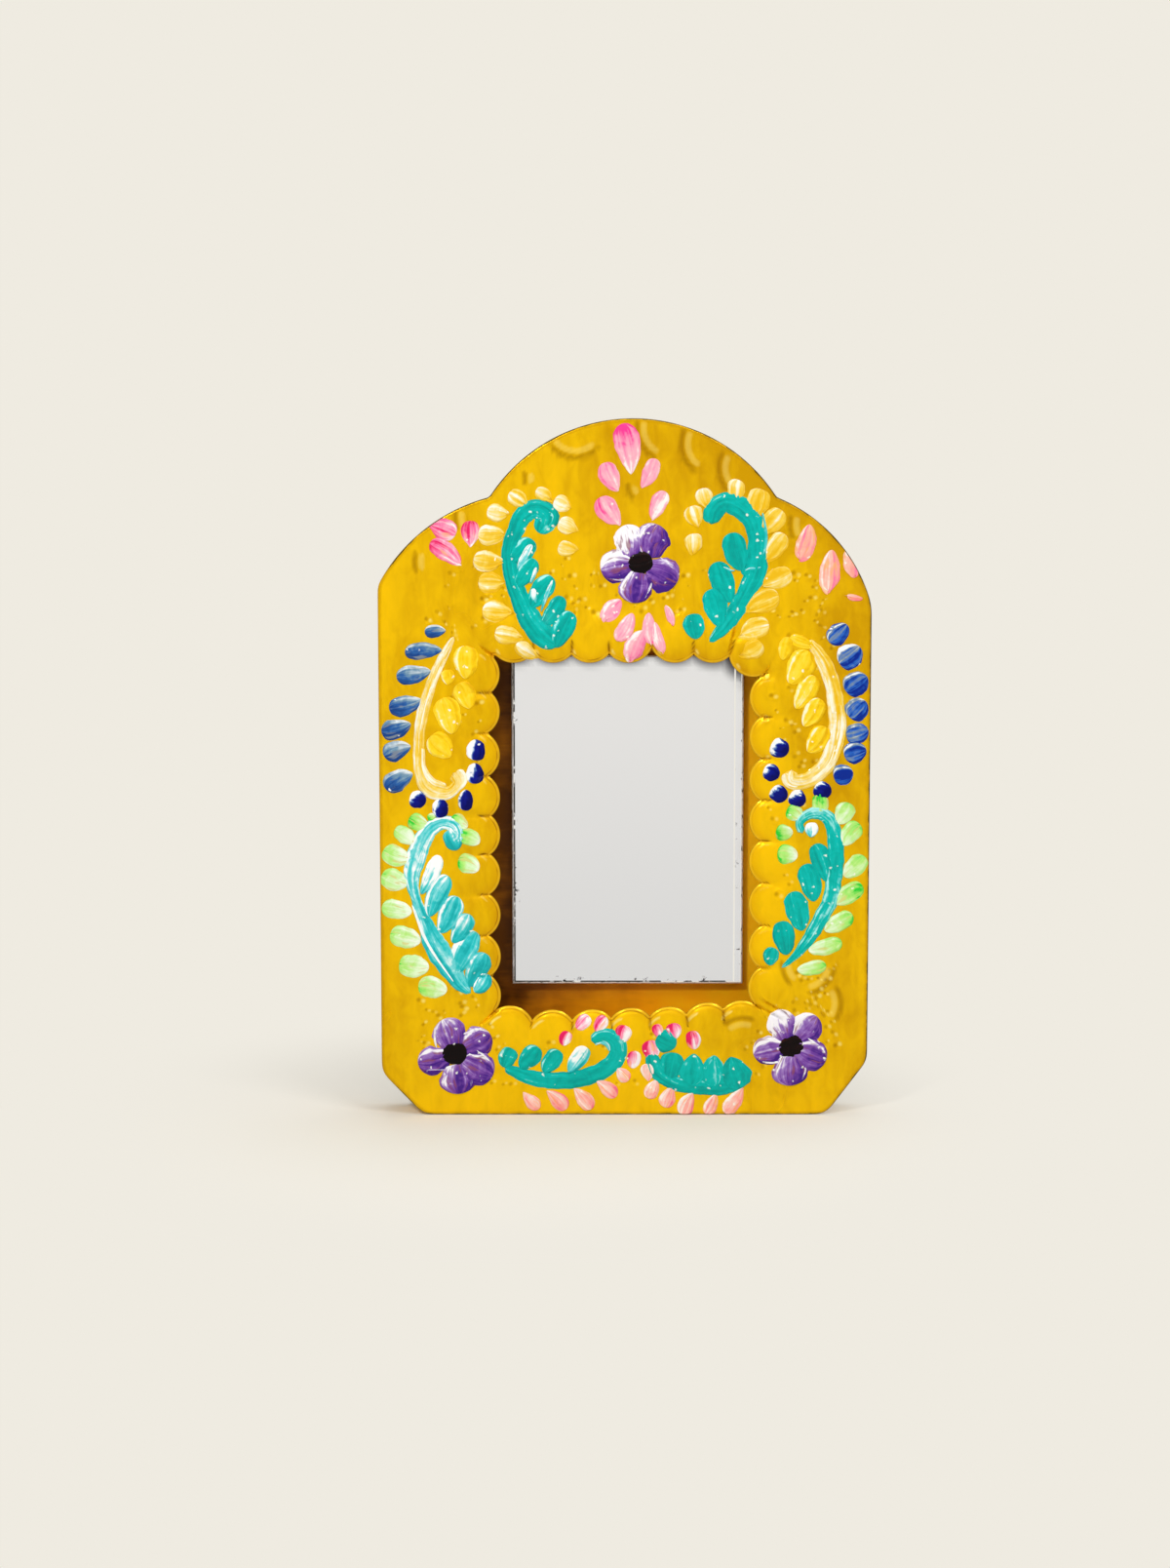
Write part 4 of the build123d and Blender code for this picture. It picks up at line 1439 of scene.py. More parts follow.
    def join(self, material):
        """All the strokes as one piece of paint on the case."""
        for slab, _ in self.blanks.values():
            bpy.data.objects.remove(slab)
        pick(*self.strokes)
        bpy.ops.object.join()
        piece = bpy.context.active_object
        piece.name = self.name
        piece.data.name = self.name
        merge_and_turn_out(piece)
        smooth(piece, 60)
        finish_piece(piece, material, "case")


def spline_through(run, values, at):
    """A smooth curve through values at their places, with no overshoot to speak of."""
    slope = np.gradient(values, run)
    i = np.clip(np.searchsorted(run, at, side="right") - 1, 0, len(run) - 2)
    span = run[i + 1] - run[i]
    t = (at - run[i]) / span
    return (
        (2 * t**3 - 3 * t**2 + 1) * values[i] + (t**3 - 2 * t**2 + t) * span * slope[i]
        + (-2 * t**3 + 3 * t**2) * values[i + 1] + (t**3 - t**2) * span * slope[i + 1]
    )


# A dab is (x, z, length, width, way of its head), in mm and degrees on the sheet.

CREAM_DABS = (
    (-31.5, 184.5, 6, 5, 145), (-37.5, 180.5, 6, 5.2, 170), (-24, 185.5, 5.1, 3.9, 150),
    (-18.5, 183, 5, 5, 155), (-17, 176.5, 5.5, 5.2, 155), (-17, 170, 5.3, 4.7, 170),
    (-39.5, 174, 7.4, 6, 180), (-40.5, 166.5, 8.2, 6.2, 175), (-39.5, 160, 7.4, 6.2, 180),
    (-38, 151.5, 8, 6.5, 175), (-34.5, 144.5, 7.8, 5.5, 170), (-29, 140, 7.2, 4.5, 145),
    (33, 187, 6.2, 5.3, 85), (23.5, 185, 5.3, 5, 105), (20.5, 179.5, 6, 5.5, 110),
    (20, 171.5, 5.5, 5.5, 90), (39.5, 183.5, 7.7, 6, 80), (43.5, 178, 8.2, 5.5, 50),
    (44.5, 170.5, 8.9, 5, 55), (45, 161, 8.9, 5.3, 25), (41, 154, 9.8, 6, 25),
    (38.5, 146, 8.8, 5.3, 20), (37.5, 140.5, 6.6, 4.8, 30),
)
CREST_PETALS = (
    (0.5, 199, 15, 7.8, 100), (-4, 191, 8.9, 6, 115), (-4.5, 181, 9.6, 6.7, 125),
    (7, 192, 9.2, 4.8, 65), (10, 182.5, 9, 5, 65),
)
SHOULDER_PETALS = (
    (-53.5, 175.5, 8, 6.5, -20), (-45.5, 174.5, 7.1, 5.5, 90), (-53, 168.5, 10.7, 5.7, 145),
    (53, 172, 10.3, 5.8, -105), (60.5, 163.5, 12, 6.2, -95), (66.5, 165.5, 8, 4.3, -70),
    (68, 155.5, 4.6, 1.9, 170),
)
MIDDLE_PETALS = (
    (-3.5, 152, 7.3, 5.3, -130), (0, 147, 9, 4.9, -120), (3.5, 141.5, 9.4, 6, -115),
    (7.5, 146.5, 9.1, 4.2, -85), (10, 144, 8.9, 3.5, -75), (13, 150.5, 5.8, 2.5, -70),
)
FOOT_BUDS = (
    (-17.5, 23.5, 4.5, 3.9, 70), (-12.5, 28.5, 5.3, 4.1, 45), (-7, 28, 5.1, 4.1, 55),
    (-0.5, 25, 5.5, 4.9, 75), (2.5, 17, 5.4, 4.2, 85), (10, 26, 4, 3.4, 110),
    (15, 26, 4.8, 4.5, 105), (20.5, 23, 5.8, 4.5, 100), (8, 20, 5.9, 5.3, 100),
)
FOOT_PETALS = (
    (-0.5, 12.5, 5.3, 4.1, -50), (-5.5, 8, 7.8, 4.5, -40), (-12.5, 5, 8.3, 4.9, -50),
    (-20.5, 4.5, 8.2, 4.9, -45), (-28, 4.5, 7, 4.1, -45), (7, 13, 5.5, 4.5, 95),
    (8.5, 8, 6.5, 4.5, -115), (13.5, 5.5, 6.9, 4.9, -110), (19, 3.5, 7.5, 5, -115),
    (26, 3.5, 7.1, 4.1, -115), (33, 4.5, 9.6, 4.9, -125),
)
BLUE_DABS = (
    (-56, 145.5, 6.2, 4, -175), (-59.5, 139.5, 11, 5.1, -175), (-62.5, 133, 10.3, 5.7, -170),
    (-65, 124, 10, 6.1, -165), (-67.8, 117, 9, 6.1, -165), (-67.5, 110, 8.4, 6.1, -160),
    (-67, 101, 9.3, 6.5, -150), (63, 145, 7.3, 5.3, -170), (66.5, 138.5, 7.7, 6.6, -175),
    (68.6, 130, 7.6, 6.4, 180), (69, 122.5, 6.7, 6.2, -170), (69, 115.5, 6.7, 5.5, 160),
    (68.5, 109.5, 6.7, 5.7, 160), (65, 103, 5.9, 5.5, 160),
)
NAVY_DOTS = (
    (-61.5, 95.5, 5, 5.3, 170), (-54.5, 93, 5.7, 4.9, -90), (-47.5, 95.5, 6.2, 4.5, -95),
    (-44.5, 103.5, 6.1, 5.3, -90), (-44.5, 110.5, 6.1, 5.7, -90), (59, 98.5, 5.3, 5.3, 160),
    (51.5, 96, 5.2, 5.3, 155), (46, 97.5, 5.4, 5.3, 150), (43.5, 103.5, 5, 5.1, 155),
    (46, 111, 5.7, 5.9, 160),
)
GREEN_DABS = (
    (-61.5, 89, 5.7, 5.2, 165), (-65.5, 84.5, 7.2, 5, 145), (-68, 79, 8.2, 6.4, 160),
    (-68.6, 71.5, 8.2, 6.6, 160), (-68, 62.5, 9.1, 5.8, 170), (-65.5, 54, 9.4, 6.6, 165),
    (-63, 45.5, 9, 7, 175), (-57.5, 38.5, 8.7, 6.6, 170), (-57.5, 90.5, 2.6, 2.3, -155),
    (-49, 89, 5.6, 4.3, 145), (-46, 84, 6.3, 5.2, 155), (-46.5, 76, 6.8, 5.8, 155),
    (50.5, 91.5, 5.1, 5, 150), (47.5, 86, 5.1, 5, 180), (48.5, 79, 6.2, 5.8, 170),
    (58, 94, 6.5, 5, 90), (65, 91.5, 7, 5.8, 60), (67.5, 85, 8.1, 5.8, 50),
    (68.5, 75.5, 8.5, 5.8, 45), (67, 67, 9.7, 5.8, 35), (64, 58.5, 9.6, 5.4, 30),
    (60, 51.5, 10.3, 5, 15), (56, 45, 8.8, 4.5, 10),
)
TEAL_LEAVES = (
    (-30.5, 169.5, 8.9, 5.5, 45), (-29, 162.5, 9.9, 5, 55), (-24.5, 157, 11.1, 5.5, 55),
    (-21.5, 151.5, 10.6, 4.5, 55), (-18, 146, 11.4, 5.7, 65), (33, 169, 11.5, 6.2, 105),
    (29, 160, 12.6, 6.2, 110), (26.5, 152.5, 11.2, 6.2, 105), (20.5, 147, 7.5, 5.5, 100),
    (35.5, 163, 2.4, 2.4, 90), (58.5, 76.5, 11.9, 5.4, 110), (55, 70.5, 11.5, 5.8, 105),
    (51.5, 62, 12.2, 6.2, 105), (47.5, 54, 10.2, 5.8, 100), (44, 48.5, 5.6, 4.1, 80),
    (-35, 17.5, 6.5, 4.9, 65), (-28.5, 17.5, 8.6, 5.3, 50), (-22, 16.5, 8.3, 4.9, 55),
    (12.5, 22.5, 6.4, 6.4, 150), (14, 15, 8.4, 6.4, 80), (20.5, 14, 9.5, 7, -95),
    (27, 13.5, 9.5, 7.2, -90), (33.5, 13, 10, 8.4, -72),
)
WHITE_TOUCHES = (
    (-29.5, 167.5, 8.4, 2.5, 60), (-26.5, 156, 4.5, 2.2, 100), (-23, 156, 9.9, 1.3, 70),
    (-27, 162, 5.2, 1.3, 70), (55.5, 86.5, 4.4, 4.1, 90), (-14, 17, 9.6, 5.3, 55),
    (-58, 73, 12.9, 4.7, 65),
)
PALE_TEAL_LEAVES = (
    (-55.5, 66.5, 13.6, 4.7, 65), (-52.5, 61, 12.2, 5, 65), (-49, 57, 10.1, 4.3, 60),
    (-47.5, 49.5, 14.3, 5.4, 65), (-44, 44.5, 11.2, 5, 65), (-43, 40.5, 6.5, 3.9, 55),
)
YELLOW_LEAVES = (
    (-47, 136.5, 9.7, 6.5, 90), (-52.5, 132, 4.5, 3.7, 95), (-47.5, 126.5, 8.2, 5.7, 115),
    (-52.5, 120.5, 11, 6.9, 105), (-54.5, 111.5, 8.6, 6.5, 135), (51.5, 135, 11.2, 7.2, 60),
    (53.5, 127.5, 11.2, 5.5, 60), (55.5, 121.5, 9.5, 5.5, 60), (57, 113.5, 9.2, 5.9, 55),
    (47.5, 140.5, 7, 4, 75), (52.5, 142.5, 7.8, 3.8, 160),
)
# A flower is its heart (x, z, radius), then its petals.
FLOWERS = (
    ((4.5, 166, 3.3), (
        (8.5, 172, 10.1, 9.3, 75), (1, 172, 9.8, 7.8, 100), (-2.5, 164.5, 9.3, 8.7, -170),
        (11, 162, 9.7, 9.3, -25), (3.5, 158.5, 9.3, 8.7, -100),
    )),
    ((-51, 18.5, 3.4), (
        (-44.5, 22.5, 9.6, 8.3, 30), (-53, 24.5, 9.8, 9, 108), (-57.5, 17, 9.4, 7.8, -166),
        (-50, 11, 9, 9.8, -85), (-44, 14.5, 10.1, 9.2, -28),
    )),
    ((50, 21, 3.4), (
        (54.5, 26.5, 9.6, 8.2, 50), (47.5, 27.5, 10, 7.8, 108), (43.5, 19.5, 9.6, 7.8, -167),
        (50, 13.5, 9, 9.6, -90), (56, 18.5, 9.8, 8.6, -22),
    )),
)
# How white some petals are, by flower and petal.
WHITE_PETALS = {(0, 1): 1.3, (0, 2): 0.6, (1, 1): 0.25, (2, 1): 0.9, (2, 2): 0.35}
# A scroll is (x, z, width) from its curled head to its tail.
TEAL_SCROLLS = (
    ((-23.5, 176, 5.5), (-22.5, 179, 5.5), (-25.5, 181.5, 4.7), (-29.5, 180, 4.5), (-32, 175.5, 4),
     (-34, 169.5, 3.7), (-33.5, 162.5, 3.7), (-31, 155.5, 4.5), (-27.5, 148.5, 5.5),
     (-23, 143.5, 5.5), (-20, 141, 2.5)),
    ((25.5, 177, 4.6), (26, 180.5, 4.8), (29.5, 183.5, 4.8), (33, 182.5, 5.3), (37, 179, 4.8),
     (39, 173.5, 4.6), (39, 168, 5), (38.5, 163, 5.3), (35.5, 156.5, 4.1), (32, 150.5, 4.1),
     (28, 145.5, 2.9), (25, 142.5, 1.2)),
    ((53, 85.5, 2.3), (52, 88.5, 2.3), (54.5, 91, 2.9), (58, 91.5, 3.5), (61, 89.5, 3.7),
     (62.5, 85, 4.1), (63, 79.5, 4.5), (62.5, 72.5, 4.5), (61.5, 65.5, 4.3), (58.5, 59.5, 4.1),
     (55, 53.5, 3.5), (51, 48.5, 2.1), (47, 45, 0.8)),
    ((-10, 23, 3.7), (-6, 24.5, 4.1), (-2.5, 22.5, 4.9), (-2, 18.5, 4.9), (-6, 14, 4.9),
     (-12, 11.5, 4.9), (-20, 10.5, 4.7), (-28.5, 11.5, 4.1), (-36, 14.5, 2.4)),
    ((8, 19, 3.7), (9.5, 14, 4.5), (14.5, 10, 4.1), (22.5, 8.5, 4.1), (31, 8.5, 3.9),
     (38, 11.5, 2.4)),
)
# Pale lines painted as highlights along the teal scrolls and across a stem: (x, z, width), from the
# head to the tail.
TEAL_EDGES = (
    ((29, 164.5, 0.2), (30, 164, 0.7), (31, 163.5, 0.7), (32.5, 163.5, 0.2)),
    ((35.5, 163.5, 0.2), (37, 164, 0.8), (38.5, 164, 0.8), (40.5, 164.5, 0.2)),
    ((40.5, 180.5, 0.4), (41.5, 175, 0.9), (41.5, 171, 0.8), (40.5, 167.5, 0.3)),
    ((-8.8, 21.8, 0.5), (-7, 22.7, 1.3), (-5.2, 21.7, 1.4), (-4.4, 19.6, 0.5)),
)
WHITE_LINE = (
    (-63.5, 64, 0.4), (-62, 60, 0.9), (-60, 54.5, 1), (-56, 47.5, 0.8), (-53.5, 44, 0.6),
    (-51, 40.5, 0.3),
)
TEAL_HEAD = (-23.5, 177.5, 7, 6.4, 60)
PALE_TEAL_HEAD = (-51, 83.5, 6.4, 5.6, 110)
PALE_TEAL_SCROLL = (
    (-51.5, 82.5, 3.5), (-49.5, 85, 2.9), (-51, 88, 3.3), (-54.5, 88.5, 3.1), (-58, 86.5, 3.7),
    (-60.5, 82.5, 4.3), (-62.5, 77, 4.5), (-63.5, 72, 3.5), (-62.5, 66.5, 2.3), (-60, 59.5, 3.1),
    (-56.5, 51.5, 5.4), (-52, 44.5, 5), (-48.5, 39.5, 3.1), (-46, 37.5, 1.6),
)
CREAM_SCROLLS = (
    ((-51, 103.5, 4.4), (-49.5, 101, 3.4), (-51.5, 98, 3.6), (-55, 97.5, 4.6), (-58.5, 99, 4.6),
     (-60.5, 103, 3.6), (-61, 108, 3.6), (-61, 114, 3.2), (-60, 121, 3.6), (-58.5, 126.5, 3.4),
     (-56, 133.5, 3), (-53.5, 138.5, 2.8), (-50.5, 144, 1.2)),
    ((49.5, 104.5, 4.8), (49.5, 101.5, 4.6), (53.5, 101, 4.6), (57, 103, 5), (60.5, 107, 5),
     (62, 112, 5), (63, 118.5, 5), (62.5, 124.5, 5), (61.5, 130, 4.4), (59.5, 135.5, 4.2),
     (57, 139.5, 3.6), (54, 143, 2)),
)
# Thinner strokes laid over the scrolls: (x, z, width), from the head to the tail.
CREAM_OVERLAYS = (
    ((-49.5, 104.5, 3), (-48, 101.5, 2.6), (-50, 98.5, 2.2)),
    ((-53, 99.5, 1.6), (-57, 101, 2), (-59.5, 104.5, 1.6), (-60, 111, 1.2)),
    ((-60.5, 116, 1), (-59, 123.5, 1.6), (-56.5, 130, 1.4), (-53, 137.5, 1)),
    ((47.5, 103.5, 3), (48.5, 100.5, 2.6), (51.5, 99.5, 2.4)),
    ((55.5, 101, 1.6), (61, 105.5, 2), (63.5, 111.5, 2.6), (64.5, 118, 2.6), (64, 124, 1.6)),
    ((62, 121, 1.4), (61, 127.5, 2), (58.5, 134, 1.8), (56, 138.5, 1.2)),
)


class TIN_OT_cream_paint(bpy.types.Operator):
    """Brush the cream dabs and the cream scrolls"""

    bl_idname = "tin_mirror.cream_paint"
    bl_label = "Cream dabs and scrolls"

    def execute(self, context):
        paint = context.scene.tin_paint
        brush = Brush("cream_brushwork", context, 11)
        for place in CREAM_DABS:
            x, z, long, wide, turn = place
            right = x > 37
            light = 0.32 if right else 0.38 if z < 166 else 0.52
            brush.dab(
                (x, z, long, 1.18 * wide if right else wide, turn), point=0.15, light=light,
                side=0.16 if right else 0.3, way=turn, rag=0.7 if right else 0.5, edge_glint_share=0.3,
                ridges=0.6 if right else 1.0,
            )
        for path in CREAM_SCROLLS:
            brush.scroll(path, light=0.48, head_light=0.1, ridges=1.5, edge_glint_share=0.3)
        for path in CREAM_OVERLAYS:
            brush.scroll(path, light=0.72, layer=2, steps=36, height=0.8)
        brush.join(acrylic(
            "cream_acrylic", 0xEFBC1A, 0xF6D04A, paint.cream, 0xFFFCEA,
            contrast=1.05, stops=(0.12, 0.38, 0.62, 0.9),
        ))
        return {"FINISHED"}


class TIN_OT_yellow_paint(bpy.types.Operator):
    """Brush the yellow leaves beside the cream scrolls"""

    bl_idname = "tin_mirror.yellow_paint"
    bl_label = "Yellow leaves"

    def execute(self, context):
        brush = Brush("yellow_brushwork", context, 12)
        for x, z, long, wide, turn in YELLOW_LEAVES:
            brush.dab(
                (x, z, long, 1.15 * wide, turn), point=0.35, light=0.46, side=0.16, way=200,
                height=1.5, edge_glint_share=0.6,
            )
        brush.join(acrylic(
            "yellow_acrylic", 0xE6AE04, 0xFBD014, 0xFFE044, 0xFFF9D0, contrast=0.38, sparkle_cutoff=0.5
        ))
        return {"FINISHED"}


class TIN_OT_teal_paint(bpy.types.Operator):
    """Brush the teal scrolls with their leaves, and the pale one"""

    bl_idname = "tin_mirror.teal_paint"
    bl_label = "Teal scrolls"

    def execute(self, context):
        paint = context.scene.tin_paint
        brush = Brush("teal_brushwork", context, 13)
        for number, path in enumerate(TEAL_SCROLLS):
            fuller = 1.24 if number < 2 else 1.1
            brush.scroll(
                [(x, z, fuller * wide) for x, z, wide in path], light=0.56 if number == 2 else 0.38
            )
        brush.dab(TEAL_HEAD, point=0, light=0.42, side=0.2, way=30, layer=1)
        for number, (x, z, long, wide, turn) in enumerate(TEAL_LEAVES):
            brush.dab(
                (x, z, long, 1.15 * wide, turn), point=0.25 if turn > 0 else 0.6, light=0.4,
                side=0.1, way=20, layer=1 + number % 3, ridges=0.5, edge_glint_share=0.6,
            )
        brush.join(acrylic(
            "teal_acrylic", 0x009C94, paint.teal, 0x08C0B8, 0xA8F0EE, contrast=0.62, sparkle_cutoff=0.52
        ))
        pale = Brush("pale_teal_brushwork", context, 14)
        pale.scroll(
            [(x, z, 1.3 * wide) for x, z, wide in PALE_TEAL_SCROLL], light=0.36, head_light=0.32,
            edge_glint_share=1.1, ridges=0.6,
        )
        pale.dab(PALE_TEAL_HEAD, point=0, light=0.4, side=0.6, way=100, layer=1)
        for number, (x, z, long, wide, turn) in enumerate(PALE_TEAL_LEAVES):
            pale.dab(
                (x, z, long, 1.35 * wide, turn), point=0.25, light=0.5 - 0.03 * number, side=0.2,
                way=120, layer=1 + number % 3, edge_glint_share=0.8,
            )
        pale.scroll(WHITE_LINE, light=0.9, layer=4, steps=40, height=0.7, ridges=0.4)
        for path in TEAL_EDGES:
            pale.scroll(path, light=0.66, layer=5, steps=30, height=0.6, ridges=0.4)
        for number, place in enumerate(WHITE_TOUCHES):
            light = 0.55 if number == 5 else 0.84
            pale.dab(place, point=0.4, light=light, side=0.4, way=80, layer=5)
        pale.join(acrylic(
            "pale_teal_acrylic", 0x14A8AC, paint.pale_teal, 0x7CDCDF, 0xFBFFFF, contrast=0.85
        ))
        return {"FINISHED"}


class TIN_OT_green_paint(bpy.types.Operator):
    """Brush the light green dabs"""

    bl_idname = "tin_mirror.green_paint"
    bl_label = "Green dabs"

    def execute(self, context):
        brush = Brush("green_brushwork", context, 15)
        for place in GREEN_DABS:
            small = place[2] < 7
            brush.dab(
                place, point=0.2, light=0.5 if small else 0.7 if place[0] < 0 else 0.56,
                side=0.5 if small else 0.32, way=place[4] + 180, ridges=0.6,
            )
        brush.join(acrylic(
            "green_acrylic", 0x2FD23A, 0x9DEB6C, context.scene.tin_paint.green,
            0xF4FFEA, fleck=0xD9D47C, contrast=0.36, stops=(0.2, 0.34, 0.5, 0.95),
        ))
        return {"FINISHED"}


class TIN_OT_blue_paint(bpy.types.Operator):
    """Brush the blue dabs and dots"""

    bl_idname = "tin_mirror.blue_paint"
    bl_label = "Blue dabs and dots"

    def execute(self, context):
        paint = context.scene.tin_paint
        brush = Brush("blue_brushwork", context, 16)
        steely = Brush("steel_blue_brushwork", context, 24)
        for place in BLUE_DABS:
            x, z, long, wide, turn = place
            if x > 0:
                steely.dab(
                    (x, z, long, 1.14 * wide, turn + 35), point=0.1, light=0.36, side=0.22, way=125,
                    edge_glint_share=0.5, ridges=0.25,
                )
            else:
                brush.dab(place, point=0.5, light=0.44, side=0.6, way=70, edge_glint_share=0.3, ridges=0.5)
        brush.join(acrylic(
            "blue_acrylic", 0x1A4488, paint.blue, 0x6C92AE, 0xDCE6EC,
            fleck=0x8A9298, contrast=0.6, stops=(0.1, 0.36, 0.58, 0.92),
        ))
        steely.join(acrylic(
            "steel_blue_acrylic", 0x062A92, 0x2A66C6, 0x8496A0,
            0xF2F6FA, contrast=1.05, stops=(0.14, 0.36, 0.64, 0.86),
        ))
        dots = Brush("navy_brushwork", context, 17)
        for place in NAVY_DOTS:
            light = 0.58 if place[0] < 0 and place[1] > 100 else 0.47
            dots.dab(place, point=0.1, light=light, side=0.62, way=145, ridges=0.2)
        dots.join(acrylic(
            "navy_acrylic", 0x00045E, paint.navy, 0x5E86C4, 0xFBFDFF,
            contrast=0.4, stops=(0.2, 0.6, 0.71, 0.8),
        ))
        return {"FINISHED"}


class TIN_OT_pink_paint(bpy.types.Operator):
    """Brush the pink petals and buds"""

    bl_idname = "tin_mirror.pink_paint"
    bl_label = "Pink petals"

    def execute(self, context):
        paint = context.scene.tin_paint
        brush = Brush("pink_brushwork", context, 18)
        brush.dab(CREST_PETALS[0], point=0.75, light=0.4, side=0.62, way=-75, full=2.6, edge_glint_share=0.8)
        for number, place in enumerate(CREST_PETALS[1:]):
            brush.dab(place, point=0.4, light=0.6, side=0.3, way=-20, layer=number % 3, rag=0.3)
        for number, place in enumerate(MIDDLE_PETALS):
            brush.dab(
                place, point=0.35, light=0.46 if number == 2 else 0.6, side=0.25, way=150,
                layer=number % 3, rag=-0.5,
            )
        brush.join(acrylic("pink_acrylic", 0xFF3F98, paint.pink, 0xFFBAC6, 0xFFF6F4, contrast=0.65))
        salmon = Brush("salmon_brushwork", context, 22)
        for number, place in enumerate(SHOULDER_PETALS[3:]):
            salmon.dab(place, point=0.35, light=0.5, side=0.25, way=150, layer=number % 3, rag=-0.5)
        salmon.join(acrylic(
            "salmon_acrylic", 0xFF7CAA, 0xFFA898, 0xFFC4B4, 0xFFF4EE, fleck=0xFFB36A, contrast=0.75
        ))
        foot = Brush("rose_brushwork", context, 19)
        for place in SHOULDER_PETALS[:3]:
            foot.dab(place, point=0.3, light=0.42, side=0.35, way=-70, rag=0.4)
        for place in FOOT_BUDS:
            foot.dab(place, point=0.1, light=0.54, side=0.7, way=-30)
        foot.join(acrylic("rose_acrylic", 0xE82264, 0xFF78AA, 0xFFBACC, 0xFFF8FA, fleck=0xFFB48A))
        coral = Brush("coral_brushwork", context, 25)
        for number, place in enumerate(FOOT_PETALS):
            coral.dab(place, point=0.85, light=0.54, side=0.2, way=150, layer=number % 3, edge_glint_share=0.7)
        coral.join(acrylic(
            "coral_acrylic", 0xF8708C, 0xFFAA9E, 0xFFD0C4, 0xFFF4EC, fleck=0xFFAE68, contrast=0.8
        ))
        return {"FINISHED"}


class TIN_OT_violet_paint(bpy.types.Operator):
    """Brush the violet flowers with their dark hearts"""

    bl_idname = "tin_mirror.violet_paint"
    bl_label = "Violet flowers"

    def execute(self, context):
        brush = Brush("violet_brushwork", context, 20)
        hearts = Brush("flower_hearts", context, 21)
        touches = Brush("white_petal_edges", context, 23)
        for flower, ((x, z, radius), petals) in enumerate(FLOWERS):
            for number, (px, pz, long, wide, turn) in enumerate(petals):
                white = WHITE_PETALS.get((flower, number), 0.0)
                light = (0.42 if flower else 0.33) + 0.5 * white
                brush.dab(
                    (px, pz, long, 1.15 * wide, turn), light=light, side=0.28 + 0.5 * white,
                    way=125, layer=number, height=1.3, ridges=0.45, petal=True, edge_glint_share=0.7,
                )
                edge = off_to(px, pz, 0.42 * wide, math.radians(turn + 90))
                touches.dab(
                    (*edge, 0.6 * long, 0.8, turn - 14), point=0.3, light=0.75, side=0.1,
                    layer=number + 1,
                )
            heart = (x, z, 2.2 * radius, 2.05 * radius, 10)
            hearts.dab(heart, point=0, light=0.2, side=0.1, layer=7)
        brush.join(acrylic(
            "violet_acrylic", 0x452086, context.scene.tin_paint.violet,
            0xA482C8, 0xFBF8FF, fleck=0x8E4C62, contrast=0.62, sparkle_cutoff=0.46,
        ))
        touches.join(acrylic("white_petal_acrylic", 0x8E6CC8, 0xCDBBE8, 0xF4EEFC, 0xFFFFFF))
        hearts.join(acrylic("heart_acrylic", 0x0A0203, 0x140405, 0x2C0C0A, 0x6A3A30, contrast=0.5))
        return {"FINISHED"}


# ---------------------------------------------------------------------------
# Stage
# ---------------------------------------------------------------------------

LENS = 60.45            # focal length, in mm, for a sensor as wide as SENSOR
SENSOR = 36.0
PITCH = 6.0             # how far the camera looks down, in degrees
SIDE_STEP = -5.67       # how far it stands to the side, in mm
VIEW_SHIFT = -0.0131
# Soft square lamps: name, place and size in metres, power in watts.
LAMPS = (
    ("key", (0.6, -0.75, 1.2), 0.45, 5.2),
    ("spark", (-0.5, -0.95, 0.85), 0.12, 6.0),
    ("fill", (-0.1, -1.1, 1.2), 1.0, 4.4),
    ("top", (0.1, 0.3, 1.5), 0.8, 6.5),
)
LAMP_AIM = Vector((0, 0, 0.1))


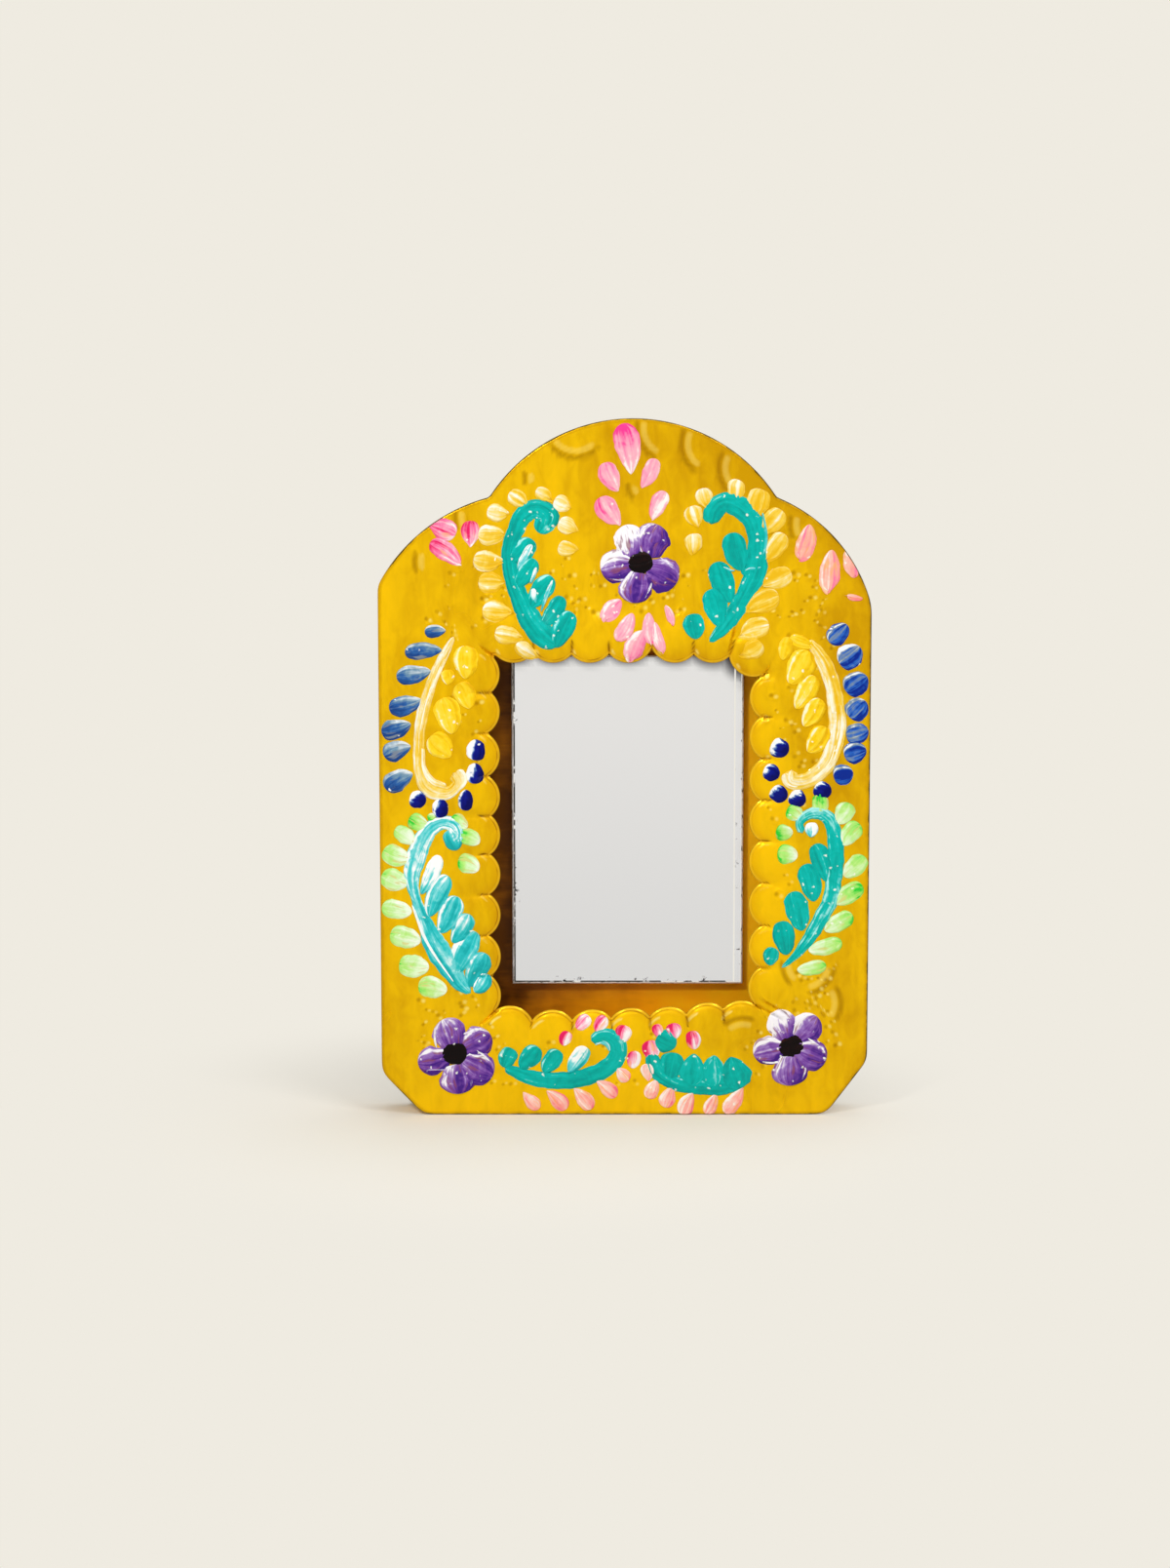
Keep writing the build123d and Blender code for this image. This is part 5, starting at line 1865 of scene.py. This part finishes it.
class TIN_OT_stage(bpy.types.Operator):
    """Set the pale floor, the soft lamps and the camera"""

    bl_idname = "tin_mirror.stage"
    bl_label = "Stage"

    def execute(self, context):
        stage = context.scene.tin_stage
        self.floor(stage)
        self.world(stage)
        for lamp in LAMPS:
            self.lamp(*lamp)
        data = bpy.data.cameras.new("camera")
        data.lens = LENS
        data.sensor_width = SENSOR
        data.shift_x = VIEW_SHIFT
        camera = bpy.data.objects.new("camera", data)
        camera.location = (SIDE_STEP * MM, -stage.camera_distance, stage.camera_height)
        camera.rotation_euler = (math.radians(90 - PITCH), 0, 0)
        context.scene.collection.objects.link(camera)
        context.scene.camera = camera
        context.scene.view_settings.view_transform = "Standard"
        return {"FINISHED"}

    def floor(self, stage):
        """A sheet of paper with the shadow near the case, and one even tone further off."""
        bpy.ops.object.select_all(action="DESELECT")
        bpy.ops.mesh.primitive_plane_add(size=12, location=(0, 0, 0))
        floor = bpy.context.active_object
        floor.name = "paper_floor"
        n = Nodes("paper")
        n.set(Base_Color=stage.paper, Roughness=0.9, Specular_IOR_Level=0.0)
        rays = n.add("ShaderNodeLightPath")
        seen = n.math("MAXIMUM", rays.outputs["Is Glossy Ray"], rays.outputs["Is Transmission Ray"])
        # The shadow's middle lies a little to the left of the case.
        middle = n.place(offset=(0.026, 0, 0))
        far = n.add("ShaderNodeVectorMath", {0: middle}, operation="LENGTH").outputs["Value"]
        even = n.add(
            "ShaderNodeMapRange", {0: far, 1: 0.02, 2: 0.165}, interpolation_type="SMOOTHERSTEP"
        ).outputs[0]
        seen = n.math("MAXIMUM", seen, n.math("MULTIPLY", rays.outputs["Is Camera Ray"], even))
        glow = n.add("ShaderNodeEmission", {"Color": stage.paper, "Strength": 1.0})
        both = n.add("ShaderNodeMixShader", {0: seen, 1: n.shader.outputs[0], 2: glow.outputs[0]})
        n.link(n.tree.nodes["Material Output"].inputs["Surface"], both.outputs[0])
        floor.data.materials.append(n.material)

    def world(self, stage):
        """Even light, and the paper's colour for what looks past the floor."""
        world = bpy.data.worlds.new("studio")
        bpy.context.scene.world = world
        n = Nodes("studio", world)
        n.tree.nodes.clear()
        rays = n.add("ShaderNodeLightPath").outputs
        seen = n.math("MAXIMUM", rays["Is Camera Ray"], rays["Is Glossy Ray"])
        light = n.add("ShaderNodeBackground", {"Color": (1.0, 0.985, 0.96, 1), "Strength": 0.25})
        paper = n.add("ShaderNodeBackground", {"Color": stage.paper, "Strength": 1.0})
        both = n.add("ShaderNodeMixShader", {0: seen, 1: light.outputs[0], 2: paper.outputs[0]})
        n.add("ShaderNodeOutputWorld", {"Surface": both.outputs[0]})

    def lamp(self, name, place, size, power):
        """A lamp that looks at the middle of the case."""
        data = bpy.data.lights.new(name, "AREA")
        data.size = size
        data.energy = power
        lamp = bpy.data.objects.new(name, data)
        lamp.location = place
        lamp.rotation_euler = (LAMP_AIM - lamp.location).to_track_quat("-Z", "Y").to_euler()
        bpy.context.scene.collection.objects.link(lamp)


# ---------------------------------------------------------------------------
# Add-on
# ---------------------------------------------------------------------------

SETTINGS = {
    "tin_sheet": SheetSettings,
    "tin_paint": PaintSettings,
    "tin_glass": GlassSettings,
    "tin_hanger": HangerSettings,
    "tin_stage": StageSettings,
}
OPERATORS = (
    TIN_OT_stage, TIN_OT_front_sheet, TIN_OT_case, TIN_OT_looking_glass, TIN_OT_hanger,
    TIN_OT_cream_paint, TIN_OT_yellow_paint, TIN_OT_teal_paint, TIN_OT_green_paint,
    TIN_OT_blue_paint, TIN_OT_pink_paint, TIN_OT_violet_paint,
)


class TIN_PT_panel(bpy.types.Panel):
    """Sizes and colours of the tin mirror, and its making"""

    bl_idname = "TIN_PT_panel"
    bl_label = "Tin Mirror"
    bl_space_type = "VIEW_3D"
    bl_region_type = "UI"
    bl_category = "Tin Mirror"

    def draw(self, context):
        for name, group in SETTINGS.items():
            box = self.layout.box()
            box.label(text=group.__doc__)
            for prop in group.__annotations__:
                box.prop(getattr(context.scene, name), prop)
        for operator in OPERATORS:
            self.layout.operator(operator.bl_idname)


def register():
    for group in SETTINGS.values():
        bpy.utils.register_class(group)
    for name, group in SETTINGS.items():
        setattr(bpy.types.Scene, name, bpy.props.PointerProperty(type=group))
    for operator in OPERATORS:
        bpy.utils.register_class(operator)
    bpy.utils.register_class(TIN_PT_panel)


def unregister():
    bpy.utils.unregister_class(TIN_PT_panel)
    for operator in reversed(OPERATORS):
        bpy.utils.unregister_class(operator)
    for name, group in reversed(SETTINGS.items()):
        delattr(bpy.types.Scene, name)
        bpy.utils.unregister_class(group)


def main():
    """Makes every piece in order."""
    register()
    for operator in OPERATORS:
        group, name = operator.bl_idname.split(".")
        getattr(getattr(bpy.ops, group), name)()


if __name__ == "__main__":
    main()
